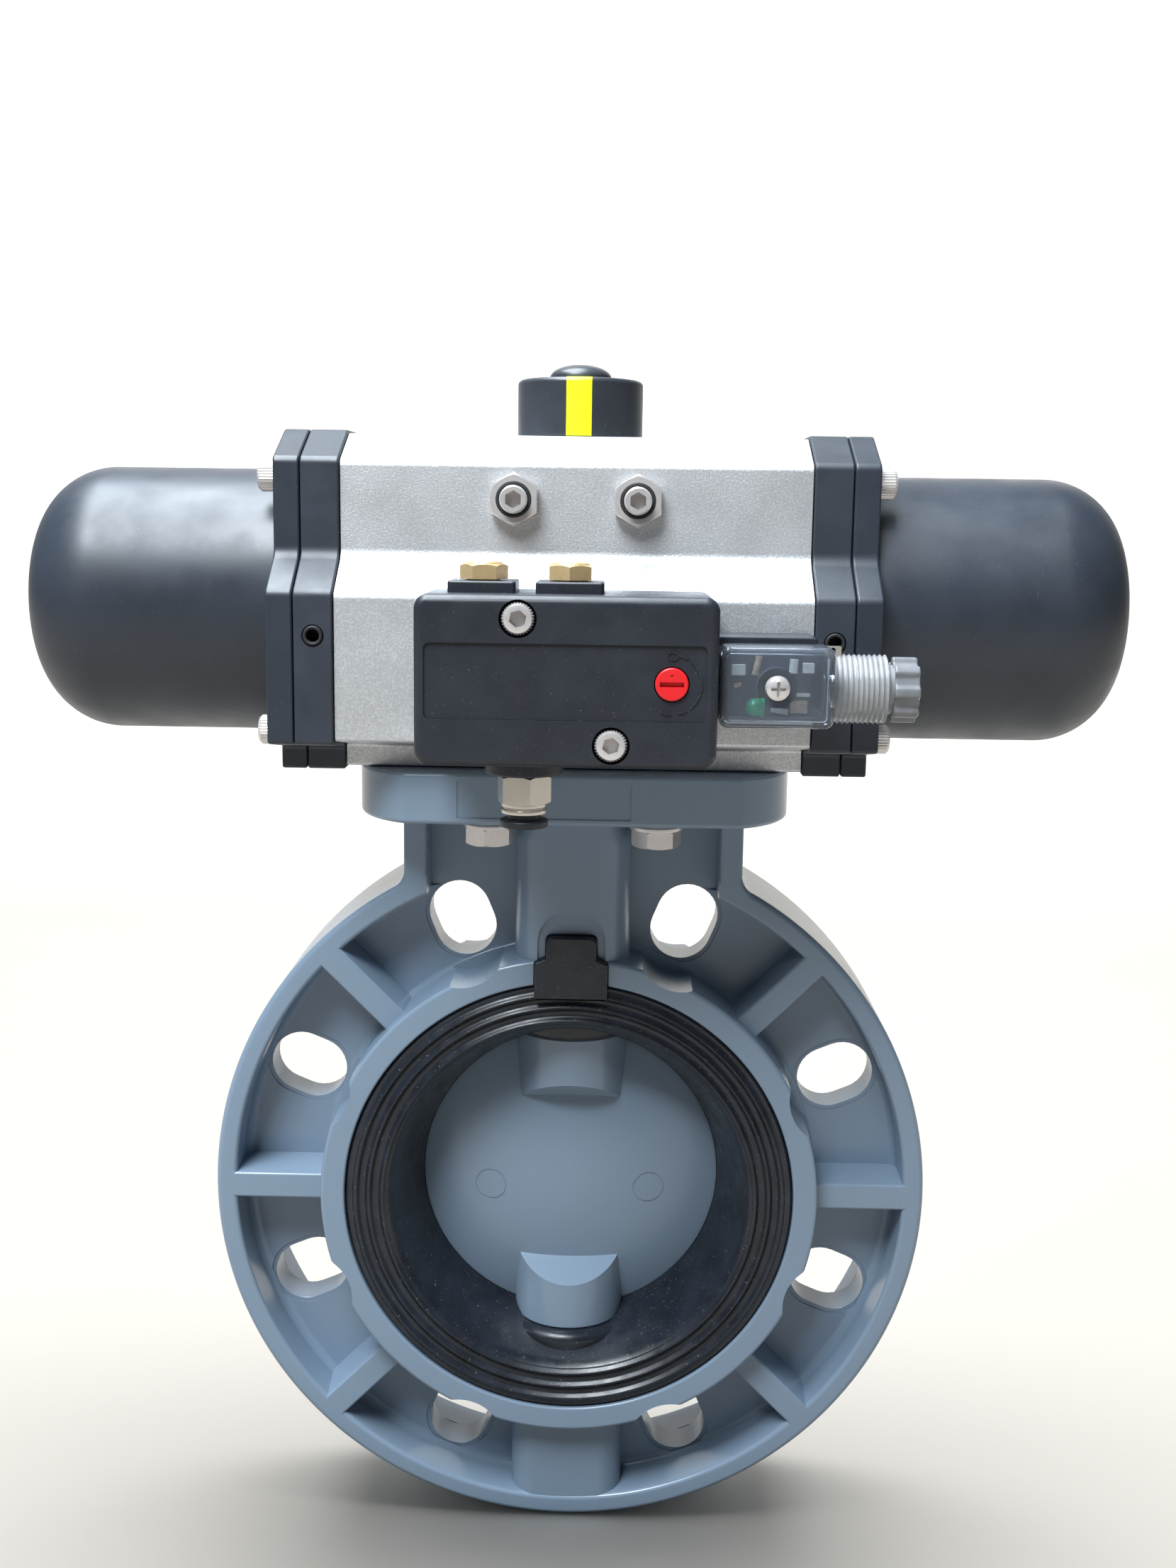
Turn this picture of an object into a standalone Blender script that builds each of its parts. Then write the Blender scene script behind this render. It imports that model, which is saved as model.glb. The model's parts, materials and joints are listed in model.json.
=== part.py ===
"""Moulded wafer butterfly valve with a spring-return rack-and-pinion air actuator and its pilot solenoid valve.

The valve stands upright. The origin is the centre of the pipe bore, +X runs along the actuator, +Y along the
flow, away from the solenoid valve, and +Z up the stem. Lengths are in metres. The valve is modelled closed.
"""

import math

import bmesh
import bpy

# ---- clearances --------------------------------------------------------------------------------------
GAP = 0.0003            # between faces that touch on the real object
BORE_SIDES = 40         # flat sides that stand in for a round surface, by size
CASE_SIDES = 28
SHAFT_SIDES = 18
BUSH_SIDES = 16
SMALL_SIDES = 12
DRILL_SIDES = 8
RUN_IN = 0.0010         # how far solids that are joined run into each other
DRILL_POINT = 0.0010    # hole left past the end of a screw or a thread
PORT_RADIUS = 0.0025    # drilled air passages

# ---- valve body, liner and disc ----------------------------------------------------------------------
SEAT_RADIUS = 0.0473            # liner bore at the disc
SEAT_LAND = 0.0030              # half length of the straight part of the seat
LINER_WALL = 0.0127             # from the seat to the body's bore
LINER_FACE_WALL = 0.0213        # from the seat to the rim of the liner's face
LINER_MOUTH = 0.0083            # how much wider the liner's mouth is than the seat
LINER_PROUD = 0.0006            # the liner's face stands out of the hub ring
LINER_FACE_DEPTH = 0.0070
HUB_WALL = 0.0075
HUB_HALF_WIDTH = 0.0280         # half the face-to-face length
WEB_WIDTH = 0.0272              # from the hub ring to the rim
RIM_WALL = 0.0064
RIM_HALF_WIDTH = 0.0210
WEB_HALF_THICKNESS = 0.0060
SPOKE_WIDTH = 0.0080
SPOKE_DRAFT = 0.0014            # how much each side of a spoke grows down to the web
SPOKE_ANGLES = (0, 45, 135, 180, 225, 315)
SLOT_ANGLES = tuple(22.5 + 45 * i for i in range(8))
SLOT_WIDTH = 0.0190
SLOT_LAND = 0.0016              # left between a slot and the hub or the rim
SCALLOP_DEPTH = 0.0030          # bolt clearance taken out of the hub ring beside each slot
SCALLOP_RADIUS = 0.0141
TAB_HALF_WIDTH = 0.0076
TAB_FOOT_HALF_WIDTH = 0.0110
TAB_HEIGHT = 0.0070             # above the hub ring
TAB_PROUD = 0.0020
TAB_THICKNESS = 0.0055
TAB_CORNER = 0.0020
TAB_FOOT_SLOPE = 0.0015
DISC_EDGE_CLEARANCE = 0.0004
DISC_HALF_THICKNESS = 0.0120
DISC_EDGE_HALF_THICKNESS = 0.0030
DISC_EDGE_CHAMFER = 0.0007
DISC_BOSS_RADIUS = 0.0176
DISC_BOSS_START = 0.0270
DISC_BOSS_SHOULDER = 0.0330

# ---- neck and top plate ------------------------------------------------------------------------------
NECK_HALF_WIDTH = 0.0511
NECK_WALL = 0.0070
NECK_ABOVE_RIM = 0.0093
COLUMN_HALF_WIDTH = 0.0177
COLUMN_FACE_HALF_WIDTH = 0.0074
COLUMN_HALF_DEPTH = 0.0276
COLUMN_SHOULDER_DEPTH = 0.0120
BOSS_FACE_HALF_WIDTH = 0.0100
BOSS_HALF_DEPTH = 0.0205
PLATE_THICKNESS = 0.0149
PLATE_HALF_DEPTH = 0.0420
PLATE_FACE_HALF_WIDTH = 0.0475
PLATE_HALF_WIDTH = 0.0640
PLATE_SIDE_HALF_DEPTH = 0.0150
MOUNT_BOLT_OFFSET = 0.02475     # ISO F07 square, 70 mm pitch circle
MOUNT_BOLT_RADIUS = 0.0039
MOUNT_BOLT_HEAD_FLATS = 0.0130
MOUNT_BOLT_HEAD_HEIGHT = 0.0053
MOUNT_WASHER_RADIUS = 0.0080
MOUNT_WASHER_THICKNESS = 0.0030
MOUNT_BOLT_GRIP = 0.0120        # length in the actuator's thread

# ---- stem --------------------------------------------------------------------------------------------
STEM_RADIUS = 0.0080
STEM_SQUARE = 0.0110
TRUNNION_RADIUS = 0.0053
TRUNNION_LENGTH = 0.0320        # below the disc
STEM_SOCKET_DEPTH = 0.0150      # stem in the pinion
BUSH_WALL = 0.0020
STEM_BUSH_LENGTH = 0.0300
TRUNNION_BUSH_LENGTH = 0.0160
STEM_SEAL_HEIGHT = 0.0030
STEM_SEAL_DROP = 0.0100         # below the upper bush

# ---- actuator housing --------------------------------------------------------------------------------
CYLINDER_RADIUS = 0.0360
CYLINDER_FLOOR = 0.0102         # from the cylinder down to the actuator's foot
CYLINDER_ROOF = 0.0133
SHOULDER_WALL = 0.0150          # at the wide lower part
WAIST_WALL = 0.0020             # at the narrow upper part
FOOT_HALF_WIDTH = 0.0310
FOOT_HEIGHT = 0.0066
SKIRT_HEIGHT = 0.0098
SHOULDER_HEIGHT = 0.0045        # above the cylinder's axis
WAIST_HEIGHT = 0.0145
EAVES_HEIGHT = 0.0411
ROOF_HALF_WIDTH = 0.0210
HOUSING_END_MARGIN = 0.0014     # housing past the pistons at full stroke
CAP_THICKNESS = 0.0108
CAP_OVERHANG = 0.0010
CAN_FLANGE_THICKNESS = 0.0074
CAN_RADIUS = 0.0394
CAN_WALL = 0.0022
CAN_STRAIGHT = 0.0540
CAN_CORNER_RADIUS = 0.0225
CAN_CROWN = 0.0020
CAP_SCREW_UPPER = (0.0310, 0.0365)    # from the cylinder's axis, across and up
CAP_SCREW_LOWER = (0.0360, -0.0353)
M5_RADIUS = 0.0024
M5_HEAD_RADIUS = 0.00425
M5_HEAD_HEIGHT = 0.0050
M5_SOCKET_FLATS = 0.0040
M5_SOCKET_DEPTH = 0.0025
M5_CLEARANCE = 0.0004
CAP_SCREW_GRIP = 0.0150         # length in the housing's thread
VENT_DROP = 0.0070              # below the cylinder's axis
VENT_RADIUS = 0.0028
VENT_BORE = 0.0018
VENT_LENGTH = 0.0075

# ---- pistons, pinion and springs ---------------------------------------------------------------------
TOOTH_MODULE = 0.0015
PINION_TEETH = 18
PRESSURE_ANGLE = math.radians(20)
BACKLASH = 0.00045
PINION_FACE_HALF_HEIGHT = 0.0110
RACK_HALF_HEIGHT = 0.0080
RACK_BACK = 0.0080              # arm behind the rack's tooth roots
RACK_LEAD = 0.0058              # rack left past the pinion at full stroke
PISTON_MEETING_GAP = 0.0010     # between a rack's end and the other piston, closed
PISTON_THICKNESS = 0.0120
PISTON_SIDE_CLEARANCE = 0.0007
SEAL_GROOVE_DEPTH = 0.0026
SEAL_WIDTH = 0.0030
PINION_FOOT_RADIUS = 0.0120
PINION_NECK_RADIUS = 0.0090
PINION_BUSH_WALL_FOOT = 0.0034
PINION_BUSH_WALL_NECK = 0.0024
PINION_HEAD = 0.0062            # above the housing's roof
CAM_RADIUS = 0.0190
CAM_CORE_RADIUS = 0.0110
CAM_FLANK = 0.0057
CAM_BOTTOM = 0.0230             # above the cylinder's axis
CAM_TOP = 0.0298
STOP_BOLT_OFFSET = 0.0173
STOP_BOLT_HEIGHT = 0.0309       # above the cylinder's axis
STOP_BOLT_RADIUS = 0.0039
STOP_BOLT_PROUD = 0.0069        # out of the housing's front
STOP_SOCKET_DEPTH = 0.0035
STOP_NUT_FLATS = 0.0130
STOP_NUT_THICKNESS = 0.0040
SPRING_COIL_RADIUS = 0.0270
SPRING_WIRE_RADIUS = 0.0025
SPRING_TURNS = 6
SPRING_END_CLEARANCE = 0.0006

# ---- indicator ---------------------------------------------------------------------------------------
INDICATOR_RADIUS = 0.0187
INDICATOR_HEIGHT = 0.0168
INDICATOR_EDGE = 0.0015
STRIPE_HALF_WIDTH = 0.0037
STRIPE_THICKNESS = 0.0010
DOME_RADIUS = 0.0092
DOME_HEIGHT = 0.0045
DOME_RIM = 0.0010
INDICATOR_SCREW_GRIP = 0.0060   # length in the pinion's head

# ---- solenoid valve ----------------------------------------------------------------------------------
SOLENOID_LEFT = -0.0396
SOLENOID_RIGHT = 0.0380
SOLENOID_HEIGHT = 0.0439
SOLENOID_DEPTH = 0.0370
SOLENOID_CORNER = 0.0030
GASKET_THICKNESS = 0.0010
GASKET_MARGIN = 0.0050          # around the interface's screws
INTERFACE_X = -0.0011           # centre of the valve interface
INTERFACE_DROP = 0.0152         # below the cylinder's axis
INTERFACE_HALF_X = 0.0120       # screws and ports of the 24 x 32 mm interface
INTERFACE_HALF_Z = 0.0160
INTERFACE_SCREW_GRIP = 0.0080   # length in the housing's thread
PANEL_MARGIN = (0.0026, 0.0030)       # left and right of the sunk panel
PANEL_HALF_HEIGHT = 0.0098
PANEL_DEPTH = 0.0006
COUNTERBORE_DEPTH = 0.0052
SPOOL_BORE_RADIUS = 0.0060
SPOOL_BORE_BEHIND_FACE = 0.0230
SPOOL_BORE_END_WALL = 0.0060
SPOOL_TRAVEL = 0.0040
SPOOL_LENGTH = 0.0500
SPOOL_LAND = 0.0060
SPOOL_WAIST_RADIUS = 0.0032
OVERRIDE_X = 0.0261
OVERRIDE_RADIUS = 0.00425
OVERRIDE_LENGTH = 0.0090
OVERRIDE_SLOT_WIDTH = 0.0012
OVERRIDE_SLOT_DEPTH = 0.0014
OVERRIDE_SLOT_REACH = 0.75      # as a share of the knob's radius
SILENCER_X = (-0.0231, -0.0003)
SILENCER_FLATS = 0.0110
SILENCER_HEX_HEIGHT = 0.0032
SILENCER_HEAD_HEIGHT = 0.0046
SILENCER_CROWN_RADIUS = 0.0050
SILENCER_THREAD_RADIUS = 0.0046
SILENCER_THREAD_LENGTH = 0.0070
SILENCER_BEHIND_FACE = 0.0190
SILENCER_BOSS_HALF_WIDTH = 0.00885
SILENCER_BOSS_HEIGHT = 0.0030
INLET_X = -0.0120
INLET_BEHIND_FACE = 0.0170
INLET_SEAT_RADIUS = 0.0105
INLET_SEAT_HEIGHT = 0.0038
INLET_THREAD_RADIUS = 0.0058
INLET_THREAD_LENGTH = 0.0085
FITTING_FLATS = 0.0130
FITTING_HEX_HEIGHT = 0.0078
FITTING_NECK_RADIUS = 0.0062
FITTING_NECK_HEIGHT = 0.0026
FITTING_BORE = 0.0047
TUBE_BORE = 0.0033
COLLAR_FLANGE_RADIUS = 0.0064
COLLAR_FLANGE_HEIGHT = 0.0020
COLLAR_TRAVEL = 0.0015
COLLAR_SLEEVE_LENGTH = 0.0060

# ---- coil and connector ------------------------------------------------------------------------------
COIL_LENGTH = 0.0275
COIL_HALF_HEIGHT = 0.0110
COIL_DEPTH = 0.0117
COIL_BORE_RADIUS = 0.0040
PLUNGER_RADIUS = 0.0034
PLUNGER_LENGTH = 0.0140
PLUNGER_TRAVEL = 0.0020
CONNECTOR_BASE_THICKNESS = 0.0060
BASE_MARGIN = 0.0010
CONNECTOR_LENGTH = 0.0295
CONNECTOR_BOTTOM = -0.0267      # from the cylinder's axis
CONNECTOR_TOP = -0.0058
CONNECTOR_FRONT_STEP = 0.0050   # the connector's face lies behind the solenoid valve's
CONNECTOR_WALL = 0.0016
CONNECTOR_CORNER = 0.0020
BOARD_THICKNESS = 0.0016
BOARD_BEHIND_FACE = 0.0090
BOARD_NOTCH = 0.0080            # cut out of the board for the cable
CONNECTOR_SCREW_RADIUS = 0.0015
CONNECTOR_SCREW_HEAD_RADIUS = 0.0033
CONNECTOR_SCREW_HEAD_HEIGHT = 0.0020
CONNECTOR_SCREW_GRIP = 0.0035    # length in the base
GLAND_RADIUS = 0.00935
GLAND_LENGTH = 0.0150
GLAND_BEHIND_FACE = 0.0160
GLAND_HEIGHT = -0.0177          # from the cylinder's axis
GLAND_BORE = 0.0048
GLAND_TAIL_RADIUS = 0.0066
GLAND_TAIL_LENGTH = 0.0065
GLAND_NUT_RADIUS = 0.0088
GLAND_NUT_LENGTH = 0.0078
GLAND_NUT_LOBES = 8
GLAND_NUT_VALLEY = 0.93         # radius between the lobes, as a share

# ---- places that follow from the sizes above ---------------------------------------------------------
LINER_BODY_RADIUS = SEAT_RADIUS + LINER_WALL
LINER_FACE_RADIUS = SEAT_RADIUS + LINER_FACE_WALL
LINER_FACE_Y = HUB_HALF_WIDTH + LINER_PROUD
LINER_SHOULDER_Y = LINER_FACE_Y - LINER_FACE_DEPTH - LINER_PROUD
HUB_BORE_RADIUS = LINER_BODY_RADIUS + GAP
HUB_RECESS_RADIUS = LINER_FACE_RADIUS + GAP
HUB_OUTER_RADIUS = HUB_RECESS_RADIUS + HUB_WALL
RIM_INNER_RADIUS = HUB_OUTER_RADIUS + WEB_WIDTH
RIM_OUTER_RADIUS = RIM_INNER_RADIUS + RIM_WALL
SLOT_INNER_CENTRE = HUB_OUTER_RADIUS + SLOT_LAND + SLOT_WIDTH / 2
SLOT_OUTER_CENTRE = RIM_INNER_RADIUS - SLOT_LAND - SLOT_WIDTH / 2
DISC_RADIUS = SEAT_RADIUS - DISC_EDGE_CLEARANCE
PLATE_BOTTOM = RIM_OUTER_RADIUS + NECK_ABOVE_RIM
PLATE_TOP = PLATE_BOTTOM + PLATE_THICKNESS
NECK_INNER_HALF_WIDTH = NECK_HALF_WIDTH - NECK_WALL
FOOT_Z = PLATE_TOP + GAP
AXIS_Z = FOOT_Z + CYLINDER_FLOOR + CYLINDER_RADIUS
ROOF_Z = AXIS_Z + CYLINDER_RADIUS + CYLINDER_ROOF
SHOULDER_Y = CYLINDER_RADIUS + SHOULDER_WALL
WAIST_Y = CYLINDER_RADIUS + WAIST_WALL
STEM_TOP = FOOT_Z + STEM_SOCKET_DEPTH
PITCH_RADIUS = TOOTH_MODULE * PINION_TEETH / 2
TOOTH_PITCH = math.pi * TOOTH_MODULE
STROKE = PITCH_RADIUS * math.pi / 2
RACK_TEETH_BEHIND = math.ceil((STROKE + RACK_LEAD) / TOOTH_PITCH)
RACK_END = (RACK_TEETH_BEHIND + 0.5) * TOOTH_PITCH
PISTON_INNER_FACE = RACK_END + PISTON_MEETING_GAP
PISTON_OUTER_FACE = PISTON_INNER_FACE + PISTON_THICKNESS
HOUSING_HALF_LENGTH = PISTON_OUTER_FACE + STROKE + HOUSING_END_MARGIN
CAP_INNER_X = HOUSING_HALF_LENGTH + GAP
CAP_OUTER_X = CAP_INNER_X + CAP_THICKNESS
CAN_INNER_X = CAP_OUTER_X + GAP
CAN_FLANGE_X = CAN_INNER_X + CAN_FLANGE_THICKNESS
CAN_CORNER_X = CAN_FLANGE_X + CAN_STRAIGHT
CAN_END_X = CAN_CORNER_X + CAN_CORNER_RADIUS + CAN_CROWN
SPRING_REACH = SPRING_COIL_RADIUS + SPRING_WIRE_RADIUS - CAN_RADIUS + CAN_CORNER_RADIUS
SPRING_END_X = CAN_CORNER_X - SPRING_END_CLEARANCE + math.sqrt(
    (CAN_CORNER_RADIUS - CAN_WALL) ** 2 - (SPRING_REACH + SPRING_END_CLEARANCE) ** 2
)
INTERFACE_Z = AXIS_Z - INTERFACE_DROP
GASKET_Y = -(SHOULDER_Y + GAP)
SOLENOID_BACK_Y = GASKET_Y - GASKET_THICKNESS - GAP
SOLENOID_FACE_Y = SOLENOID_BACK_Y - SOLENOID_DEPTH
SOLENOID_BOTTOM = INTERFACE_Z - SOLENOID_HEIGHT / 2
SOLENOID_TOP = INTERFACE_Z + SOLENOID_HEIGHT / 2
SPOOL_Y = SOLENOID_FACE_Y + SPOOL_BORE_BEHIND_FACE
SILENCER_Y = SOLENOID_FACE_Y + SILENCER_BEHIND_FACE
INLET_Y = SOLENOID_FACE_Y + INLET_BEHIND_FACE
COIL_X = SOLENOID_RIGHT + GAP
COIL_BACK_Y = -(SHOULDER_Y + CAP_OVERHANG + 2 * GAP)    # in front of the end cap
COIL_FRONT_Y = COIL_BACK_Y - COIL_DEPTH
CONNECTOR_FACE_Y = SOLENOID_FACE_Y + CONNECTOR_FRONT_STEP
CONNECTOR_BACK_Y = COIL_FRONT_Y - GAP - CONNECTOR_BASE_THICKNESS - GAP
CONNECTOR_Z = AXIS_Z + (CONNECTOR_BOTTOM + CONNECTOR_TOP) / 2
GLAND_Y = CONNECTOR_FACE_Y + GLAND_BEHIND_FACE
GLAND_Z = AXIS_Z + GLAND_HEIGHT
INDICATOR_BOTTOM = ROOF_Z + GAP
INDICATOR_TOP = INDICATOR_BOTTOM + INDICATOR_HEIGHT

# ---- materials: colour, roughness, metallic ----------------------------------------------------------
FINISHES = {
    "body_plastic": ((0.245, 0.290, 0.345), 0.35, 0.0),
    "liner_rubber": ((0.012, 0.013, 0.016), 0.45, 0.0),
    "stainless": ((0.62, 0.60, 0.57), 0.25, 1.0),
    "bush_plastic": ((0.60, 0.56, 0.45), 0.45, 0.0),
    "anodised_aluminium": ((0.66, 0.67, 0.68), 0.45, 0.9),
    "cap_plastic": ((0.018, 0.021, 0.027), 0.50, 0.0),
    "can_coating": ((0.030, 0.036, 0.046), 0.42, 0.0),
    "cast_piston": ((0.55, 0.56, 0.57), 0.40, 0.9),
    "spring_steel": ((0.32, 0.33, 0.35), 0.35, 1.0),
    "pinion_steel": ((0.48, 0.48, 0.50), 0.30, 1.0),
    "seal_rubber": ((0.015, 0.015, 0.016), 0.60, 0.0),
    "indicator_plastic": ((0.015, 0.017, 0.021), 0.35, 0.0),
    "indicator_yellow": ((0.85, 0.86, 0.02), 0.40, 0.0),
    "solenoid_plastic": ((0.016, 0.018, 0.022), 0.42, 0.0),
    "override_red": ((0.78, 0.03, 0.03), 0.35, 0.0),
    "silencer_brass": ((0.72, 0.48, 0.20), 0.30, 1.0),
    "fitting_nickel": ((0.66, 0.62, 0.55), 0.22, 1.0),
    "clear_plastic": ((0.55, 0.60, 0.68), 0.10, 0.0),
    "board_green": ((0.06, 0.22, 0.12), 0.50, 0.0),
    "gland_plastic": ((0.20, 0.21, 0.22), 0.25, 0.0),
}

AXES = {
    "X": lambda u, v, w: (w, u, v),
    "Y": lambda u, v, w: (u, w, v),
    "Z": lambda u, v, w: (u, v, w),
}


# ---- outlines ----------------------------------------------------------------------------------------
def arc(centre_u, centre_v, radius, start, end, steps):
    """Points of a circle from one angle to another, in degrees, with both ends."""
    angles = [math.radians(start + (end - start) * i / steps) for i in range(steps + 1)]
    return [(centre_u + radius * math.cos(a), centre_v + radius * math.sin(a)) for a in angles]


def circle(centre_u, centre_v, radius, sides):
    """The corners of a regular polygon on a circle."""
    return arc(centre_u, centre_v, radius, 0, 360, sides)[:-1]


def hexagon(centre_u, centre_v, flats, turn=0):
    """A hexagon of a given width across its flats."""
    return arc(centre_u, centre_v, flats / math.sqrt(3), turn, turn + 360, 6)[:-1]


def rectangle(low_u, high_u, low_v, high_v):
    return [(low_u, low_v), (high_u, low_v), (high_u, high_v), (low_u, high_v)]


def rounded_rectangle(low_u, high_u, low_v, high_v, radius, steps=2):
    corners = (
        (high_u - radius, high_v - radius, 0),
        (low_u + radius, high_v - radius, 90),
        (low_u + radius, low_v + radius, 180),
        (high_u - radius, low_v + radius, 270),
    )
    return [point for u, v, start in corners for point in arc(u, v, radius, start, start + 90, steps)]


def mirrored(half):
    """Close a half outline, given from top to bottom at positive u, with its mirror image."""
    return half + [(-u, v) for u, v in reversed(half) if u > 0]


def polar(radius, angle):
    a = math.radians(angle)
    return radius * math.cos(a), radius * math.sin(a)


# ---- solids ------------------------------------------------------------------------------------------
def solid(name, vertices, faces):
    """One object from its vertices and faces, with the faces turned outwards."""
    bm = bmesh.new()
    corners = [bm.verts.new(v) for v in vertices]
    for face in faces:
        bm.faces.new([corners[i] for i in face])
    bmesh.ops.recalc_face_normals(bm, faces=bm.faces)
    mesh = bpy.data.meshes.new(name)
    bm.to_mesh(mesh)
    bm.free()
    piece = bpy.data.objects.new(name, mesh)
    bpy.context.scene.collection.objects.link(piece)
    return piece


def prism(name, axis, outline, low, high):
    """An outline carried straight along an axis."""
    count = len(outline)
    place = AXES[axis]
    vertices = [place(u, v, w) for w in (low, high) for u, v in outline]
    sides = [(i, (i + 1) % count, (i + 1) % count + count, i + count) for i in range(count)]
    caps = [tuple(range(count)), tuple(range(count, 2 * count))]
    return solid(name, vertices, sides + caps)


def rod(name, axis, centre, radius, low, high, sides=BUSH_SIDES):
    return prism(name, axis, circle(centre[0], centre[1], radius, sides), low, high)


def turned(name, axis, profile, sides, centre=(0.0, 0.0)):
    """A closed profile of (radius, height) points turned about an axis; a zero radius gives a single point."""
    place = AXES[axis]
    vertices = []
    rings = []
    for radius, height in profile:
        count = 1 if radius == 0 else sides
        rings.append(list(range(len(vertices), len(vertices) + count)))
        for u, v in circle(0, 0, radius, sides)[:count]:
            vertices.append(place(centre[0] + u, centre[1] + v, height))
    faces = []
    for here, there in zip(rings, rings[1:] + rings[:1]):
        for i in range(sides):
            j = (i + 1) % sides
            loop = [here[i % len(here)], here[j % len(here)], there[j % len(there)], there[i % len(there)]]
            loop = list(dict.fromkeys(loop))
            if len(loop) > 2:
                faces.append(loop)
    return solid(name, vertices, faces)


def combine(piece, others, operation):
    """Add or take away solids, which are used up."""
    for other in others:
        modifier = piece.modifiers.new(operation.lower(), "BOOLEAN")
        modifier.operation = operation
        modifier.solver = "EXACT"
        modifier.object = other
    bpy.context.view_layer.update()
    depsgraph = bpy.context.evaluated_depsgraph_get()
    mesh = bpy.data.meshes.new_from_object(piece.evaluated_get(depsgraph))
    piece.modifiers.clear()
    piece.data = mesh
    for other in others:
        bpy.data.objects.remove(other)
    return piece


def fuse(piece, *others):
    return combine(piece, others, "UNION")


def cut(piece, *others):
    return combine(piece, others, "DIFFERENCE")


def common(piece, *others):
    return combine(piece, others, "INTERSECT")


def finish(piece, slot, origin=(0.0, 0.0, 0.0)):
    """Give a piece its material, smooth its round faces and put its origin on its axis."""
    material = bpy.data.materials.get(slot) or make_material(slot)
    piece.data.materials.clear()
    piece.data.materials.append(material)
    piece.data.shade_smooth()
    piece.data.set_sharp_from_angle(angle=math.radians(35))
    for vertex in piece.data.vertices:
        vertex.co = [vertex.co[i] - origin[i] for i in range(3)]
    piece.location = origin
    return piece


def make_material(slot):
    colour, roughness, metallic = FINISHES[slot]
    material = bpy.data.materials.new(slot)
    material.use_nodes = True
    shader = material.node_tree.nodes["Principled BSDF"]
    shader.inputs["Base Color"].default_value = (*colour, 1.0)
    shader.inputs["Roughness"].default_value = roughness
    shader.inputs["Metallic"].default_value = metallic
    if slot == "clear_plastic":
        shader.inputs["Alpha"].default_value = 0.35
    return material


def copy_of(piece, name, location=(0.0, 0.0, 0.0), turn_z=0.0):
    """Another object with the same mesh, moved and turned about Z."""
    twin = bpy.data.objects.new(name, piece.data)
    bpy.context.scene.collection.objects.link(twin)
    twin.location = location
    twin.rotation_euler = (0.0, 0.0, turn_z)
    return twin


# ---- the valve ---------------------------------------------------------------------------------------
def column_outline(face_half_width, half_depth):
    """Cross-section of a stem housing: flat faces front and back, rounded shoulders, flat sides."""
    rise = half_depth - COLUMN_SHOULDER_DEPTH
    run = COLUMN_HALF_WIDTH - face_half_width
    shoulder = [
        (face_half_width + run * math.sin(a), COLUMN_SHOULDER_DEPTH + rise * math.cos(a))
        for a in (math.radians(30 * i) for i in range(4))
    ]
    half = shoulder + [(u, -v) for u, v in reversed(shoulder)]
    return mirrored(half)


def plate_outline():
    """Top plate seen from above: a flat front and back, and bowed corners to the narrower ends."""
    run = PLATE_HALF_WIDTH - PLATE_FACE_HALF_WIDTH
    rise = PLATE_HALF_DEPTH - PLATE_SIDE_HALF_DEPTH
    corner = [
        (PLATE_FACE_HALF_WIDTH + run * math.sin(a), PLATE_SIDE_HALF_DEPTH + rise * math.cos(a))
        for a in (math.radians(30 * i) for i in range(4))
    ]
    half = corner + [(u, -v) for u, v in reversed(corner)]
    return mirrored(half)


def tab_outline(grow):
    """Front view of the liner's name tab: a wide foot in the hub ring and a round-cornered tongue above it."""
    foot_top = HUB_OUTER_RADIUS + GAP
    top = HUB_OUTER_RADIUS + TAB_HEIGHT + grow
    side = TAB_HALF_WIDTH + grow
    foot = TAB_FOOT_HALF_WIDTH + grow
    bottom = LINER_BODY_RADIUS + TAB_HEIGHT / 2
    half = arc(side - TAB_CORNER, top - TAB_CORNER, TAB_CORNER, 90, 0, 2)
    half += [(side, foot_top), (foot, foot_top - TAB_FOOT_SLOPE), (foot, bottom)]
    return mirrored(half)


def slot_outline(angle):
    """A round-ended slot along a radius of the web."""
    inner = polar(SLOT_INNER_CENTRE, angle)
    outer = polar(SLOT_OUTER_CENTRE, angle)
    half = SLOT_WIDTH / 2
    return arc(*outer, half, angle - 90, angle + 90, 6) + arc(*inner, half, angle + 90, angle + 270, 6)


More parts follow.
